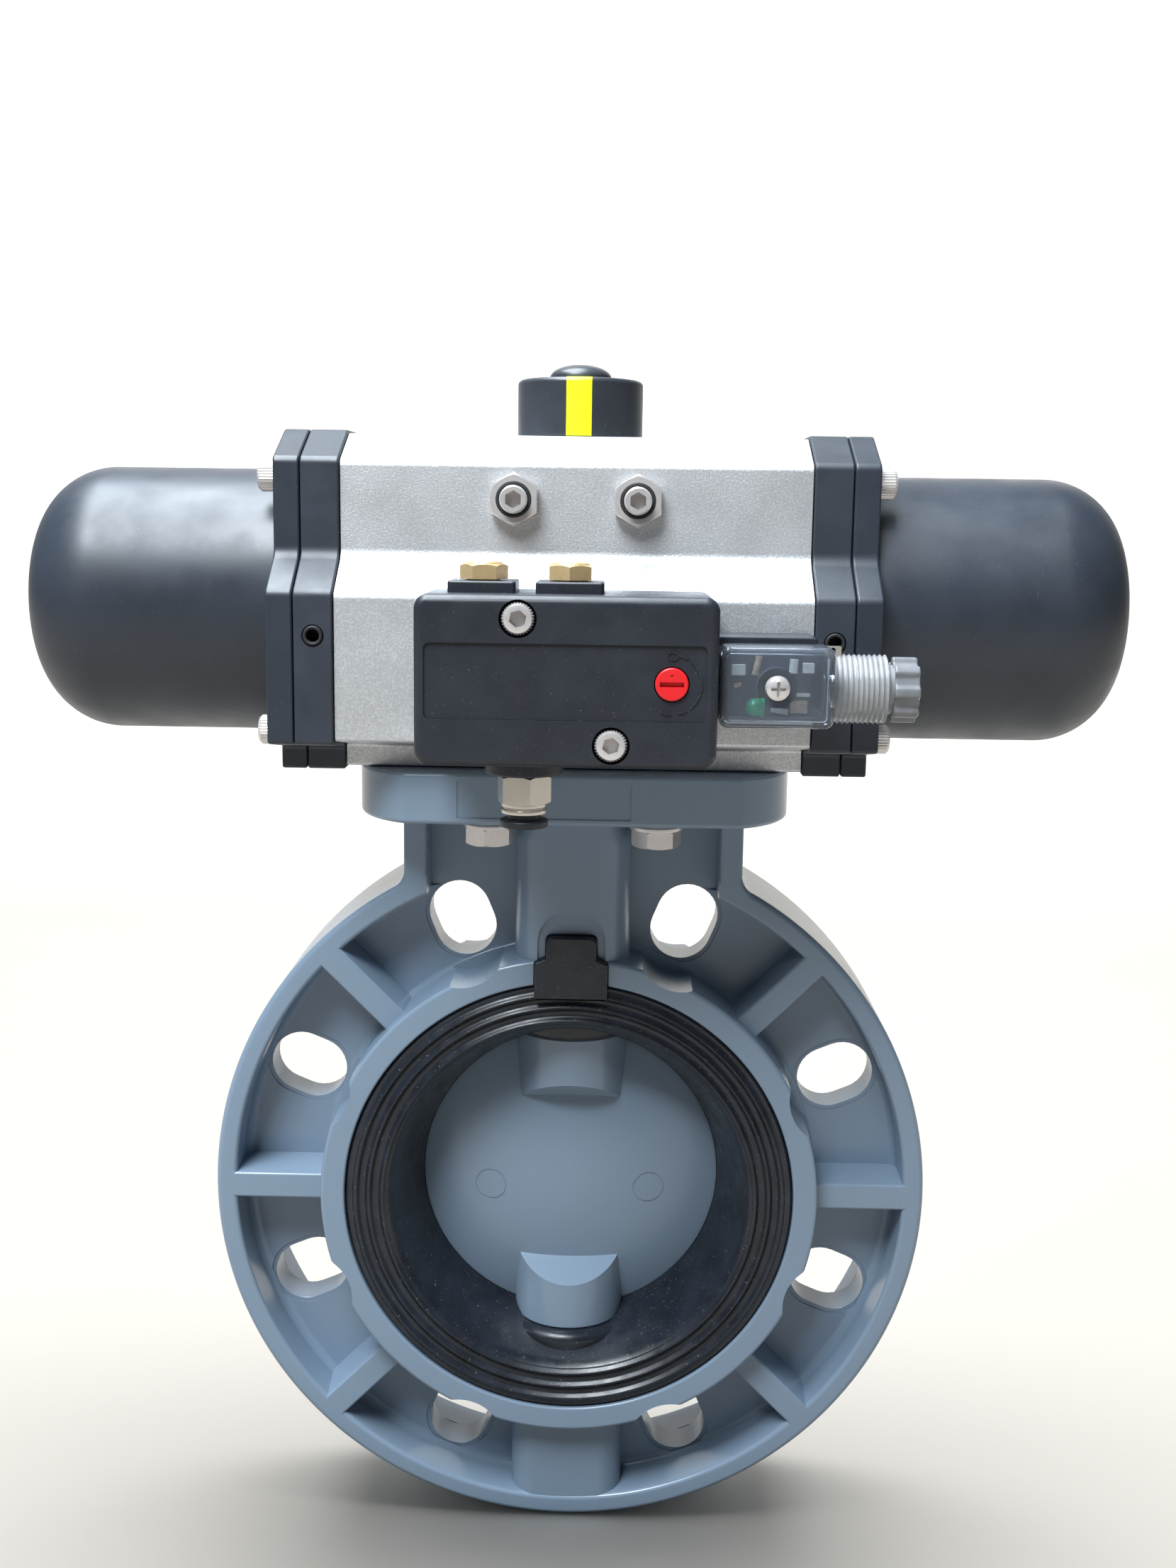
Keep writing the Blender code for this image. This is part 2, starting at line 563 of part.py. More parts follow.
def build_valve_body():
    web = WEB_HALF_THICKNESS
    recess = LINER_SHOULDER_Y - GAP
    profile = [
        (HUB_BORE_RADIUS, -recess), (HUB_RECESS_RADIUS, -recess), (HUB_RECESS_RADIUS, -HUB_HALF_WIDTH),
        (HUB_OUTER_RADIUS, -HUB_HALF_WIDTH), (HUB_OUTER_RADIUS, -web), (RIM_INNER_RADIUS, -web),
        (RIM_INNER_RADIUS, -RIM_HALF_WIDTH), (RIM_OUTER_RADIUS, -RIM_HALF_WIDTH),
    ]
    profile += [(r, -y) for r, y in reversed(profile)]
    body = turned("valve_body", "Y", profile, BORE_SIDES)

    # The rim is open between the neck's walls.
    inner = NECK_INNER_HALF_WIDTH
    neck_start = math.sqrt(RIM_INNER_RADIUS ** 2 - inner ** 2)
    for low, high in ((-RIM_HALF_WIDTH - GAP, -web), (web, RIM_HALF_WIDTH + GAP)):
        window = rectangle(-inner, inner, neck_start - GAP, RIM_OUTER_RADIUS + GAP)
        cut(body, prism("window", "Y", window, low, high))

    wall_start = math.sqrt(RIM_INNER_RADIUS ** 2 - NECK_HALF_WIDTH ** 2) + RIM_WALL / 2
    additions = [
        prism("neck_web", "Y", rectangle(-inner - GAP, inner + GAP, neck_start, PLATE_BOTTOM + GAP), -web, web),
        prism("plate", "Z", plate_outline(), PLATE_BOTTOM, PLATE_TOP),
        prism(
            "column", "Z", column_outline(COLUMN_FACE_HALF_WIDTH, COLUMN_HALF_DEPTH),
            (HUB_RECESS_RADIUS + HUB_OUTER_RADIUS) / 2, PLATE_BOTTOM + GAP,
        ),
        prism(
            "boss", "Z", column_outline(BOSS_FACE_HALF_WIDTH, BOSS_HALF_DEPTH),
            -RIM_INNER_RADIUS - RIM_WALL / 4, -(HUB_RECESS_RADIUS + HUB_OUTER_RADIUS) / 2,
        ),
    ]
    for side in (-1, 1):
        edges = sorted((side * inner, side * NECK_HALF_WIDTH))
        wall = rectangle(edges[0], edges[1], wall_start, PLATE_BOTTOM + GAP)
        additions.append(prism("neck_wall", "Y", wall, -RIM_HALF_WIDTH, RIM_HALF_WIDTH))
    for angle in SPOKE_ANGLES:
        additions.append(build_spoke(angle))
    fuse(body, *additions)

    cuts = []
    for angle in SLOT_ANGLES:
        cuts.append(prism("slot", "Y", slot_outline(angle), -web - GAP, web + GAP))
        centre = polar(HUB_OUTER_RADIUS - SCALLOP_DEPTH + SCALLOP_RADIUS, angle)
        cuts.append(rod("scallop", "Y", centre, SCALLOP_RADIUS, -HUB_HALF_WIDTH - GAP, -web - GAP, BUSH_SIDES))
        cuts.append(rod("scallop", "Y", centre, SCALLOP_RADIUS, web + GAP, HUB_HALF_WIDTH + GAP, BUSH_SIDES))
    bush = STEM_RADIUS + GAP + BUSH_WALL + GAP
    lower_bush = TRUNNION_RADIUS + GAP + BUSH_WALL + GAP
    cuts.append(rod("stem_bore", "Z", (0, 0), bush, SEAT_RADIUS, PLATE_TOP + GAP, BUSH_SIDES))
    floor = -(DISC_RADIUS + TRUNNION_LENGTH + GAP)
    cuts.append(rod("trunnion_bore", "Z", (0, 0), lower_bush, floor, -SEAT_RADIUS, BUSH_SIDES))
    for x, y in mount_bolt_places():
        hole = MOUNT_BOLT_RADIUS + 2 * GAP
        cuts.append(rod("bolt_hole", "Z", (x, y), hole, PLATE_BOTTOM - GAP, PLATE_TOP + GAP, SMALL_SIDES))
    tab_back = TAB_THICKNESS - TAB_PROUD - HUB_HALF_WIDTH
    cuts.append(prism("tab_seat", "Y", tab_outline(GAP), -HUB_HALF_WIDTH - GAP, tab_back + GAP))
    cut(body, *cuts)
    return finish(body, "body_plastic")


def build_spoke(angle):
    """A radial rib between hub and rim, its sides drafted towards the web."""
    half = SPOKE_WIDTH / 2
    root = half + SPOKE_DRAFT
    deep = RIM_HALF_WIDTH
    section = [(half, deep), (root, 0), (half, -deep), (-half, -deep), (-root, 0), (-half, deep)]
    start = (HUB_RECESS_RADIUS + HUB_OUTER_RADIUS) / 2
    end = RIM_INNER_RADIUS + RIM_WALL / 2
    cos, sin = polar(1, angle)
    vertices = [(r * cos - t * sin, y, r * sin + t * cos) for r in (start, end) for t, y in section]
    count = len(section)
    faces = [(i, (i + 1) % count, (i + 1) % count + count, i + count) for i in range(count)]
    faces += [tuple(range(count)), tuple(range(count, 2 * count))]
    return solid("spoke", vertices, faces)


def mount_bolt_places():
    return [(x * MOUNT_BOLT_OFFSET, y * MOUNT_BOLT_OFFSET) for x in (-1, 1) for y in (-1, 1)]


def build_liner():
    mouth = SEAT_RADIUS + LINER_MOUTH
    half = [
        (SEAT_RADIUS, -SEAT_LAND), (mouth - LINER_PROUD, -LINER_FACE_Y + LINER_FACE_DEPTH / 2), (mouth, -LINER_FACE_Y),
        (LINER_FACE_RADIUS, -LINER_FACE_Y), (LINER_FACE_RADIUS, -LINER_SHOULDER_Y),
        (LINER_BODY_RADIUS, -LINER_SHOULDER_Y),
    ]
    liner = turned("seat_liner", "Y", half + [(r, -y) for r, y in reversed(half)], BORE_SIDES)
    front = -(HUB_HALF_WIDTH + TAB_PROUD)
    fuse(liner, prism("tab", "Y", tab_outline(0), front, front + TAB_THICKNESS))
    pocket = DISC_RADIUS + 2 * DISC_EDGE_CLEARANCE
    pocket_radius = DISC_BOSS_RADIUS + DISC_EDGE_CLEARANCE
    outside = LINER_BODY_RADIUS + GAP
    cut(
        liner,
        rod("pocket", "Z", (0, 0), pocket_radius, -pocket, pocket, CASE_SIDES),
        rod("stem_hole", "Z", (0, 0), STEM_RADIUS + GAP, 0, outside, BUSH_SIDES),
        rod("trunnion_hole", "Z", (0, 0), TRUNNION_RADIUS + GAP, -outside, 0, BUSH_SIDES),
    )
    return finish(liner, "liner_rubber")


def build_disc():
    """A lens with a cylindrical boss at the top and bottom, square-bored for the stem."""
    edge = DISC_EDGE_HALF_THICKNESS
    rise = DISC_HALF_THICKNESS - edge
    land = DISC_RADIUS - DISC_EDGE_CHAMFER
    face = [(0.0, DISC_HALF_THICKNESS)]
    face += [(land * s, edge + rise * (1 - s ** 2)) for s in (0.35, 0.7)]
    face += [(land, edge), (DISC_RADIUS, edge / 2)]
    disc = turned("valve_disc", "Y", [(r, -y) for r, y in face] + list(reversed(face)), BORE_SIDES)
    start, shoulder, end = DISC_BOSS_START, DISC_BOSS_SHOULDER, DISC_RADIUS + DISC_EDGE_CLEARANCE
    radius = DISC_BOSS_RADIUS
    bosses = []
    for way in (-1, 1):
        boss = rod("boss", "Z", (0, 0), radius, *sorted((way * start, way * end)), CASE_SIDES)
        flank = [(radius + GAP, way * shoulder), (rise, way * (start - GAP)), (-rise, way * (start - GAP))]
        flank += [(-radius - GAP, way * shoulder), (-radius - GAP, way * (end + GAP))]
        flank += [(radius + GAP, way * (end + GAP))]
        common(boss, prism("flank", "X", flank, -radius - GAP, radius + GAP))
        bosses.append(boss)
    fuse(disc, *bosses)
    half = STEM_SQUARE / 2 + GAP
    cut(disc, prism("stem_socket", "Z", rectangle(-half, half, -half, half), -end - GAP, end + GAP))
    return finish(disc, "body_plastic")


def build_stem():
    """Stepped through-stem: a square top in the pinion, round bearings, a square in the disc, a trunnion."""
    half = STEM_SQUARE / 2
    square = rectangle(-half, half, -half, half)
    boss_end = DISC_RADIUS + DISC_EDGE_CLEARANCE
    stem = rod("valve_stem", "Z", (0, 0), STEM_RADIUS, boss_end + GAP, PLATE_TOP, BUSH_SIDES)
    fuse(
        stem,
        prism("square_top", "Z", square, PLATE_TOP - RUN_IN, STEM_TOP),
        prism("square_middle", "Z", square, -boss_end, boss_end + RUN_IN),
        rod("trunnion", "Z", (0, 0), TRUNNION_RADIUS, -DISC_RADIUS - TRUNNION_LENGTH, RUN_IN - boss_end, BUSH_SIDES),
    )
    return finish(stem, "stainless")


def build_ring(name, slot, inner, outer, low, high, sides, axis="Z", centre=(0.0, 0.0), origin=(0.0, 0.0, 0.0)):
    ring = turned(name, axis, [(inner, low), (outer, low), (outer, high), (inner, high)], sides, centre)
    return finish(ring, slot, origin)


def build_stem_bearings():
    inner = STEM_RADIUS + GAP
    top = PLATE_TOP - GAP
    build_ring("stem_bush_upper", "bush_plastic", inner, inner + BUSH_WALL, top - STEM_BUSH_LENGTH, top, BUSH_SIDES)
    seal_top = top - STEM_BUSH_LENGTH - STEM_SEAL_DROP
    build_ring("stem_seal", "seal_rubber", inner, inner + BUSH_WALL, seal_top - STEM_SEAL_HEIGHT, seal_top, BUSH_SIDES)
    inner = TRUNNION_RADIUS + GAP
    low = -(DISC_RADIUS + TRUNNION_LENGTH)
    build_ring("stem_bush_lower", "bush_plastic", inner, inner + BUSH_WALL, low, low + TRUNNION_BUSH_LENGTH, BUSH_SIDES)


def build_mounting_bolts():
    """Hexagon screws with captive washers, from under the plate into the actuator's foot."""
    seat = PLATE_BOTTOM - GAP
    head = seat - MOUNT_WASHER_THICKNESS
    for index, (x, y) in enumerate(mount_bolt_places()):
        bolt = rod("bolt", "Z", (x, y), MOUNT_WASHER_RADIUS, head, seat, SMALL_SIDES)
        outline = hexagon(x, y, MOUNT_BOLT_HEAD_FLATS)
        fuse(
            bolt,
            prism("head", "Z", outline, head - MOUNT_BOLT_HEAD_HEIGHT, head + GAP),
            rod("shank", "Z", (x, y), MOUNT_BOLT_RADIUS, seat - GAP, FOOT_Z + MOUNT_BOLT_GRIP, SMALL_SIDES),
        )
        bolt.name = f"mounting_bolt_{index + 1}"
        finish(bolt, "stainless")


# ---- the actuator ------------------------------------------------------------------------------------
def housing_outline(grow):
    """End view of the extruded housing: foot, skirt, wide shoulder, narrow waist and sloping eaves."""
    half = [
        (ROOF_HALF_WIDTH, ROOF_Z + grow),
        (WAIST_Y + grow, AXIS_Z + EAVES_HEIGHT + grow / 2),
        (WAIST_Y + grow, AXIS_Z + WAIST_HEIGHT + grow / 2),
        (SHOULDER_Y + grow, AXIS_Z + SHOULDER_HEIGHT + grow / 2),
        (SHOULDER_Y + grow, FOOT_Z + SKIRT_HEIGHT - grow),
        (FOOT_HALF_WIDTH + grow, FOOT_Z + FOOT_HEIGHT - grow),
        (FOOT_HALF_WIDTH + grow, FOOT_Z - grow),
    ]
    return mirrored(half)


def cap_screw_places():
    return [
        (side * across, AXIS_Z + up) for across, up in (CAP_SCREW_UPPER, CAP_SCREW_LOWER) for side in (-1, 1)
    ]


def interface_screw_places():
    return [
        (INTERFACE_X - INTERFACE_HALF_X, INTERFACE_Z + INTERFACE_HALF_Z),
        (INTERFACE_X + INTERFACE_HALF_X, INTERFACE_Z - INTERFACE_HALF_Z),
    ]


def interface_port_places():
    return [(INTERFACE_X + side * INTERFACE_HALF_X, INTERFACE_Z) for side in (-1, 1)]


def build_housing():
    length = HOUSING_HALF_LENGTH
    front = -SHOULDER_Y
    housing = prism("actuator_body", "X", housing_outline(0), -length, length)
    thread = M5_RADIUS + M5_CLEARANCE
    foot_bush = PINION_FOOT_RADIUS + GAP + PINION_BUSH_WALL_FOOT + GAP
    neck_bush = PINION_NECK_RADIUS + GAP + PINION_BUSH_WALL_NECK + GAP
    cuts = [
        rod("cylinder", "X", (0, AXIS_Z), CYLINDER_RADIUS, -length - GAP, length + GAP, CASE_SIDES),
        rod("foot_bore", "Z", (0, 0), foot_bush, FOOT_Z - GAP, AXIS_Z, SHAFT_SIDES),
        rod("neck_bore", "Z", (0, 0), neck_bush, AXIS_Z, ROOF_Z + GAP, BUSH_SIDES),
    ]
    for x, y in mount_bolt_places():
        end = FOOT_Z + MOUNT_BOLT_GRIP + DRILL_POINT
        cuts.append(rod("thread", "Z", (x, y), MOUNT_BOLT_RADIUS + GAP, FOOT_Z - GAP, end, SMALL_SIDES))
    for y, z in cap_screw_places():
        for side in (-1, 1):
            ends = sorted((side * (length + GAP), side * (length - CAP_SCREW_GRIP - DRILL_POINT)))
            cuts.append(rod("thread", "X", (y, z), thread, *ends, DRILL_SIDES))
    for x in (-STOP_BOLT_OFFSET, STOP_BOLT_OFFSET):
        centre = (x, AXIS_Z + STOP_BOLT_HEIGHT)
        cuts.append(rod("thread", "Y", centre, STOP_BOLT_RADIUS + GAP, -WAIST_Y - GAP, -CAM_FLANK, SMALL_SIDES))
    for x, z in interface_screw_places():
        cuts.append(rod("thread", "Y", (x, z), thread, front - GAP, front + INTERFACE_SCREW_GRIP + DRILL_POINT, DRILL_SIDES))
    centre_port, end_port = interface_port_places()
    gallery = front + SHOULDER_WALL / 2
    cuts.append(rod("centre_port", "Y", centre_port, PORT_RADIUS, front - GAP, -CYLINDER_RADIUS / 2, DRILL_SIDES))
    cuts.append(rod("end_port", "Y", end_port, PORT_RADIUS, front - GAP, gallery, DRILL_SIDES))
    gallery_z = AXIS_Z - INTERFACE_DROP
    cut(housing, *cuts)
    cut(housing, rod("gallery", "X", (gallery, gallery_z), PORT_RADIUS, 0, length + GAP, DRILL_SIDES))
    return finish(housing, "anodised_aluminium")


def build_cap(side):
    name = "end_cap_left" if side < 0 else "end_cap_right"
    ends = sorted((side * CAP_INNER_X, side * CAP_OUTER_X))
    cap = prism(name, "X", housing_outline(CAP_OVERHANG), *ends)
    low, high = ends[0] - GAP, ends[1] + GAP
    cuts = [rod("bore", "X", (0, AXIS_Z), CYLINDER_RADIUS, low, high, CASE_SIDES)]
    for y, z in cap_screw_places():
        cuts.append(rod("hole", "X", (y, z), M5_RADIUS + M5_CLEARANCE, low, high, DRILL_SIDES))
    centre = (side * (CAP_INNER_X + CAP_OUTER_X) / 2, AXIS_Z - VENT_DROP)
    front = -SHOULDER_Y - CAP_OVERHANG
    cuts.append(rod("vent_seat", "Y", centre, VENT_RADIUS + GAP, front - GAP, front + VENT_LENGTH + GAP, SMALL_SIDES))
    cut(cap, *cuts)
    finish(cap, "cap_plastic")
    vent_name = "vent_port_left" if side < 0 else "vent_port_right"
    ring = (VENT_BORE, VENT_RADIUS, front - GAP, front + VENT_LENGTH)
    build_ring(vent_name, "seal_rubber", *ring, SMALL_SIDES, "Y", centre)


def build_can(side):
    """A bolted flange with a domed spring can, open towards the cylinder."""
    name = "spring_can_left" if side < 0 else "spring_can_right"
    ends = sorted((side * CAN_INNER_X, side * CAN_FLANGE_X))
    can = prism(name, "X", housing_outline(CAP_OVERHANG), *ends)
    corner = CAN_CORNER_RADIUS
    corner_x = CAN_CORNER_X
    outer = [(CAN_RADIUS, CAN_FLANGE_X - CAN_FLANGE_THICKNESS / 2)]
    outer += [(CAN_RADIUS - corner + r, corner_x + x) for r, x in arc(0, 0, corner, 0, 75, 4)]
    outer += [(0.0, CAN_END_X)]
    shell = turned("shell", "X", [(0.0, outer[0][1])] + outer, CASE_SIDES, (0, AXIS_Z))
    fuse(can, mirror_x(shell) if side < 0 else shell)
    inner = [(CAN_RADIUS - CAN_WALL, CAN_INNER_X - GAP)]
    inner += [(CAN_RADIUS - corner + r, corner_x + x) for r, x in arc(0, 0, corner - CAN_WALL, 0, 75, 3)]
    inner += [(0.0, CAN_END_X - CAN_WALL)]
    hollow = turned("hollow", "X", [(0.0, inner[0][1])] + inner, CASE_SIDES, (0, AXIS_Z))
    cut(can, mirror_x(hollow) if side < 0 else hollow)
    low, high = ends[0] - GAP, ends[1] + GAP
    holes = [rod("hole", "X", place, M5_RADIUS + M5_CLEARANCE, low, high, DRILL_SIDES) for place in cap_screw_places()]
    cut(can, *holes)
    return finish(can, "can_coating")


def mirror_x(piece):
    """Turn a piece into its own mirror image, with its faces still outwards."""
    for vertex in piece.data.vertices:
        vertex.co.x = -vertex.co.x
    piece.data.flip_normals()
    return piece


def socket_screw(name, length, head_start=0.0):
    """A socket-head cap screw along +X: its head at the far end, its thread towards the origin."""
    seat = head_start + length
    top = seat + M5_HEAD_HEIGHT
    profile = [
        (0.0, head_start), (M5_RADIUS, head_start), (M5_RADIUS, seat), (M5_HEAD_RADIUS, seat),
        (M5_HEAD_RADIUS, top), (0.0, top),
    ]
    screw = turned(name, "X", profile, SMALL_SIDES)
    return cut(screw, prism("socket", "X", hexagon(0, 0, M5_SOCKET_FLATS), top - M5_SOCKET_DEPTH, top + GAP))


def build_cap_screws():
    """Four screws at each end clamp can, cap and housing together."""
    start = HOUSING_HALF_LENGTH - CAP_SCREW_GRIP
    pattern = socket_screw("cap_screw", CAN_FLANGE_X + GAP - start)
    finish(pattern, "stainless")
    for side, word in ((-1, "left"), (1, "right")):
        for index, (y, z) in enumerate(cap_screw_places()):
            turn = math.pi if side < 0 else 0.0
            copy_of(pattern, f"cap_screw_{word}_{index + 1}", (side * start, y, z), turn)
    bpy.data.objects.remove(pattern)


def build_stop_screws():
    """Adjustable travel stops: a set screw and its lock nut at each side of the pinion's cam."""
    tip = -(CAM_FLANK + GAP)
    end = -(WAIST_Y + STOP_BOLT_PROUD)
    for x, word in ((-STOP_BOLT_OFFSET, "left"), (STOP_BOLT_OFFSET, "right")):
        centre = (x, AXIS_Z + STOP_BOLT_HEIGHT)
        bolt = rod("stop", "Y", centre, STOP_BOLT_RADIUS, end, tip, SMALL_SIDES)
        cut(bolt, prism("socket", "Y", hexagon(*centre, M5_SOCKET_FLATS), end - GAP, end + STOP_SOCKET_DEPTH))
        bolt.name = f"stop_screw_{word}"
        finish(bolt, "stainless")
        nut_face = -WAIST_Y - GAP
        nut = prism("nut", "Y", hexagon(*centre, STOP_NUT_FLATS, 90), nut_face - STOP_NUT_THICKNESS, nut_face)
        cut(nut, rod("bore", "Y", centre, STOP_BOLT_RADIUS + GAP, end, nut_face + GAP, SMALL_SIDES))
        nut.name = f"stop_nut_{word}"
        finish(nut, "stainless")


def pinion_outline():
    """Involute teeth: the half angle of a tooth shrinks with the involute of the pressure angle."""
    base = PITCH_RADIUS * math.cos(PRESSURE_ANGLE)
    root = PITCH_RADIUS - 1.25 * TOOTH_MODULE
    tip = PITCH_RADIUS + TOOTH_MODULE
    pitch_half_angle = math.pi / (2 * PINION_TEETH) - BACKLASH / (2 * PITCH_RADIUS)

    def half_angle(radius):
        pressure = math.acos(min(1.0, base / radius))
        involute = math.tan(pressure) - pressure
        return pitch_half_angle + math.tan(PRESSURE_ANGLE) - PRESSURE_ANGLE - involute

    radii = (root, (base + PITCH_RADIUS) / 2, tip)
    flank = [(radius, half_angle(max(radius, base))) for radius in radii]
    outline = []
    for tooth in range(PINION_TEETH):
        middle = (tooth + 0.5) * 2 * math.pi / PINION_TEETH + math.pi / 2
        outline += [(r * math.cos(middle - a), r * math.sin(middle - a)) for r, a in flank]
        outline += [(r * math.cos(middle + a), r * math.sin(middle + a)) for r, a in reversed(flank)]
    return outline


def cam_outline():
    """Stop cam: a core with one quadrant lobe, whose flanks meet the stop screws a quarter turn apart."""
    outer = math.degrees(math.asin(CAM_FLANK / CAM_RADIUS))
    inner = math.degrees(math.asin(CAM_FLANK / CAM_CORE_RADIUS))
    lobe = arc(0, 0, CAM_RADIUS, -outer, 90 + outer, 6)
    return lobe + arc(0, 0, CAM_CORE_RADIUS, 90 + inner, 360 - inner, 8)


def build_pinion():
    """Steel pinion: foot journal with the stem's socket, teeth, stop cam, neck journal and slotted head."""
    pinion = rod("pinion_shaft", "Z", (0, 0), PINION_FOOT_RADIUS, FOOT_Z + GAP, AXIS_Z, SHAFT_SIDES)
    teeth = PINION_FACE_HALF_HEIGHT
    head = ROOF_Z + PINION_HEAD
    hole_end = head - INDICATOR_SCREW_GRIP - DRILL_POINT
    fuse(
        pinion,
        prism("teeth", "Z", pinion_outline(), AXIS_Z - teeth, AXIS_Z + teeth),
        rod("neck", "Z", (0, 0), PINION_NECK_RADIUS, AXIS_Z + teeth - GAP, head, BUSH_SIDES),
        prism("cam", "Z", cam_outline(), AXIS_Z + CAM_BOTTOM, AXIS_Z + CAM_TOP),
    )
    half = STEM_SQUARE / 2 + GAP
    cut(
        pinion,
        prism("socket", "Z", rectangle(-half, half, -half, half), FOOT_Z, STEM_TOP + GAP),
        rod("screw_hole", "Z", (0, 0), M5_RADIUS + GAP, hole_end, head + GAP, SMALL_SIDES),
    )
    return finish(pinion, "pinion_steel")


def build_pinion_bushes():
    foot = PINION_FOOT_RADIUS + GAP
    top = AXIS_Z - math.sqrt(CYLINDER_RADIUS ** 2 - foot ** 2) - PISTON_SIDE_CLEARANCE
    build_ring("pinion_bush_lower", "bush_plastic", foot, foot + PINION_BUSH_WALL_FOOT, FOOT_Z + GAP, top, SHAFT_SIDES)
    neck = PINION_NECK_RADIUS + GAP
    low = AXIS_Z + CYLINDER_RADIUS
    build_ring("pinion_bush_upper", "bush_plastic", neck, neck + PINION_BUSH_WALL_NECK, low, ROOF_Z - GAP, BUSH_SIDES)


def rack_outline():
    """Plan of the right piston's arm at the front of the pinion: straight back, trapezoid teeth inside."""
    pitch = TOOTH_PITCH
    tip = PITCH_RADIUS - TOOTH_MODULE + 2 * GAP / 3
    root = PITCH_RADIUS + 1.25 * TOOTH_MODULE
    slope = math.tan(PRESSURE_ANGLE)
    pitch_half = pitch / 4 - BACKLASH / 2
    tip_half = pitch_half - (PITCH_RADIUS - tip) * slope
    root_half = pitch_half + (root - PITCH_RADIUS) * slope
    outline = [(-RACK_END, -root)]
    for tooth in range(-RACK_TEETH_BEHIND, 3):
        x = tooth * pitch
        outline += [(x - root_half, -root), (x - tip_half, -tip), (x + tip_half, -tip), (x + root_half, -root)]
    back = root + RACK_BACK
    outline += [(PISTON_INNER_FACE + RUN_IN, -root), (PISTON_INNER_FACE + RUN_IN, -back), (outline[0][0], -back)]
    return outline


def build_pistons():
    """Two identical pistons, turned half a turn apart, with a seal ring in each head's groove."""
    outer = CYLINDER_RADIUS - PISTON_SIDE_CLEARANCE
    groove = outer - SEAL_GROOVE_DEPTH
    inner_face = PISTON_INNER_FACE
    outer_face = PISTON_OUTER_FACE
    middle = (inner_face + outer_face) / 2
    lip = SEAL_WIDTH / 2 + GAP
    profile = [
        (0.0, inner_face), (outer, inner_face), (outer, middle - lip), (groove, middle - lip),
        (groove, middle + lip), (outer, middle + lip), (outer, outer_face), (0.0, outer_face),
    ]
    piston = turned("piston_right", "X", profile, CASE_SIDES, (0, AXIS_Z))
    rack = prism("rack", "Z", rack_outline(), AXIS_Z - RACK_HALF_HEIGHT, AXIS_Z + RACK_HALF_HEIGHT)
    fuse(piston, rack)
    origin = (0.0, 0.0, AXIS_Z)
    finish(piston, "cast_piston", origin)
    copy_of(piston, "piston_left", origin, math.pi)
    seal = (groove + GAP, CYLINDER_RADIUS - GAP, middle - SEAL_WIDTH / 2, middle + SEAL_WIDTH / 2)
    ring = build_ring("piston_seal_right", "seal_rubber", *seal, CASE_SIDES, "X", (0, AXIS_Z), origin)
    copy_of(ring, "piston_seal_left", origin, math.pi)


def build_springs():
    """Return springs: wire on a helix from the piston's back to the can's round end."""
    start = PISTON_OUTER_FACE + GAP + SPRING_WIRE_RADIUS
    end = SPRING_END_X - SPRING_WIRE_RADIUS
    per_turn = 8
    steps = SPRING_TURNS * per_turn
    sides = 5
    vertices = []
    for step in range(steps + 1):
        turn = 2 * math.pi * step / per_turn
        x = start + (end - start) * step / steps
        for u, v in circle(0, 0, SPRING_WIRE_RADIUS, sides):
            radius = SPRING_COIL_RADIUS + u
            vertices.append((x + v, radius * math.cos(turn), AXIS_Z + radius * math.sin(turn)))
    faces = [tuple(range(sides)), tuple(range(steps * sides, (steps + 1) * sides))]
    for step in range(steps):
        for i in range(sides):
            j = (i + 1) % sides
            here, there = step * sides, (step + 1) * sides
            faces.append((here + i, here + j, there + j, there + i))
    spring = solid("return_spring_right", vertices, faces)
    finish(spring, "spring_steel")
    copy_of(spring, "return_spring_left", (0.0, 0.0, 0.0), math.pi)


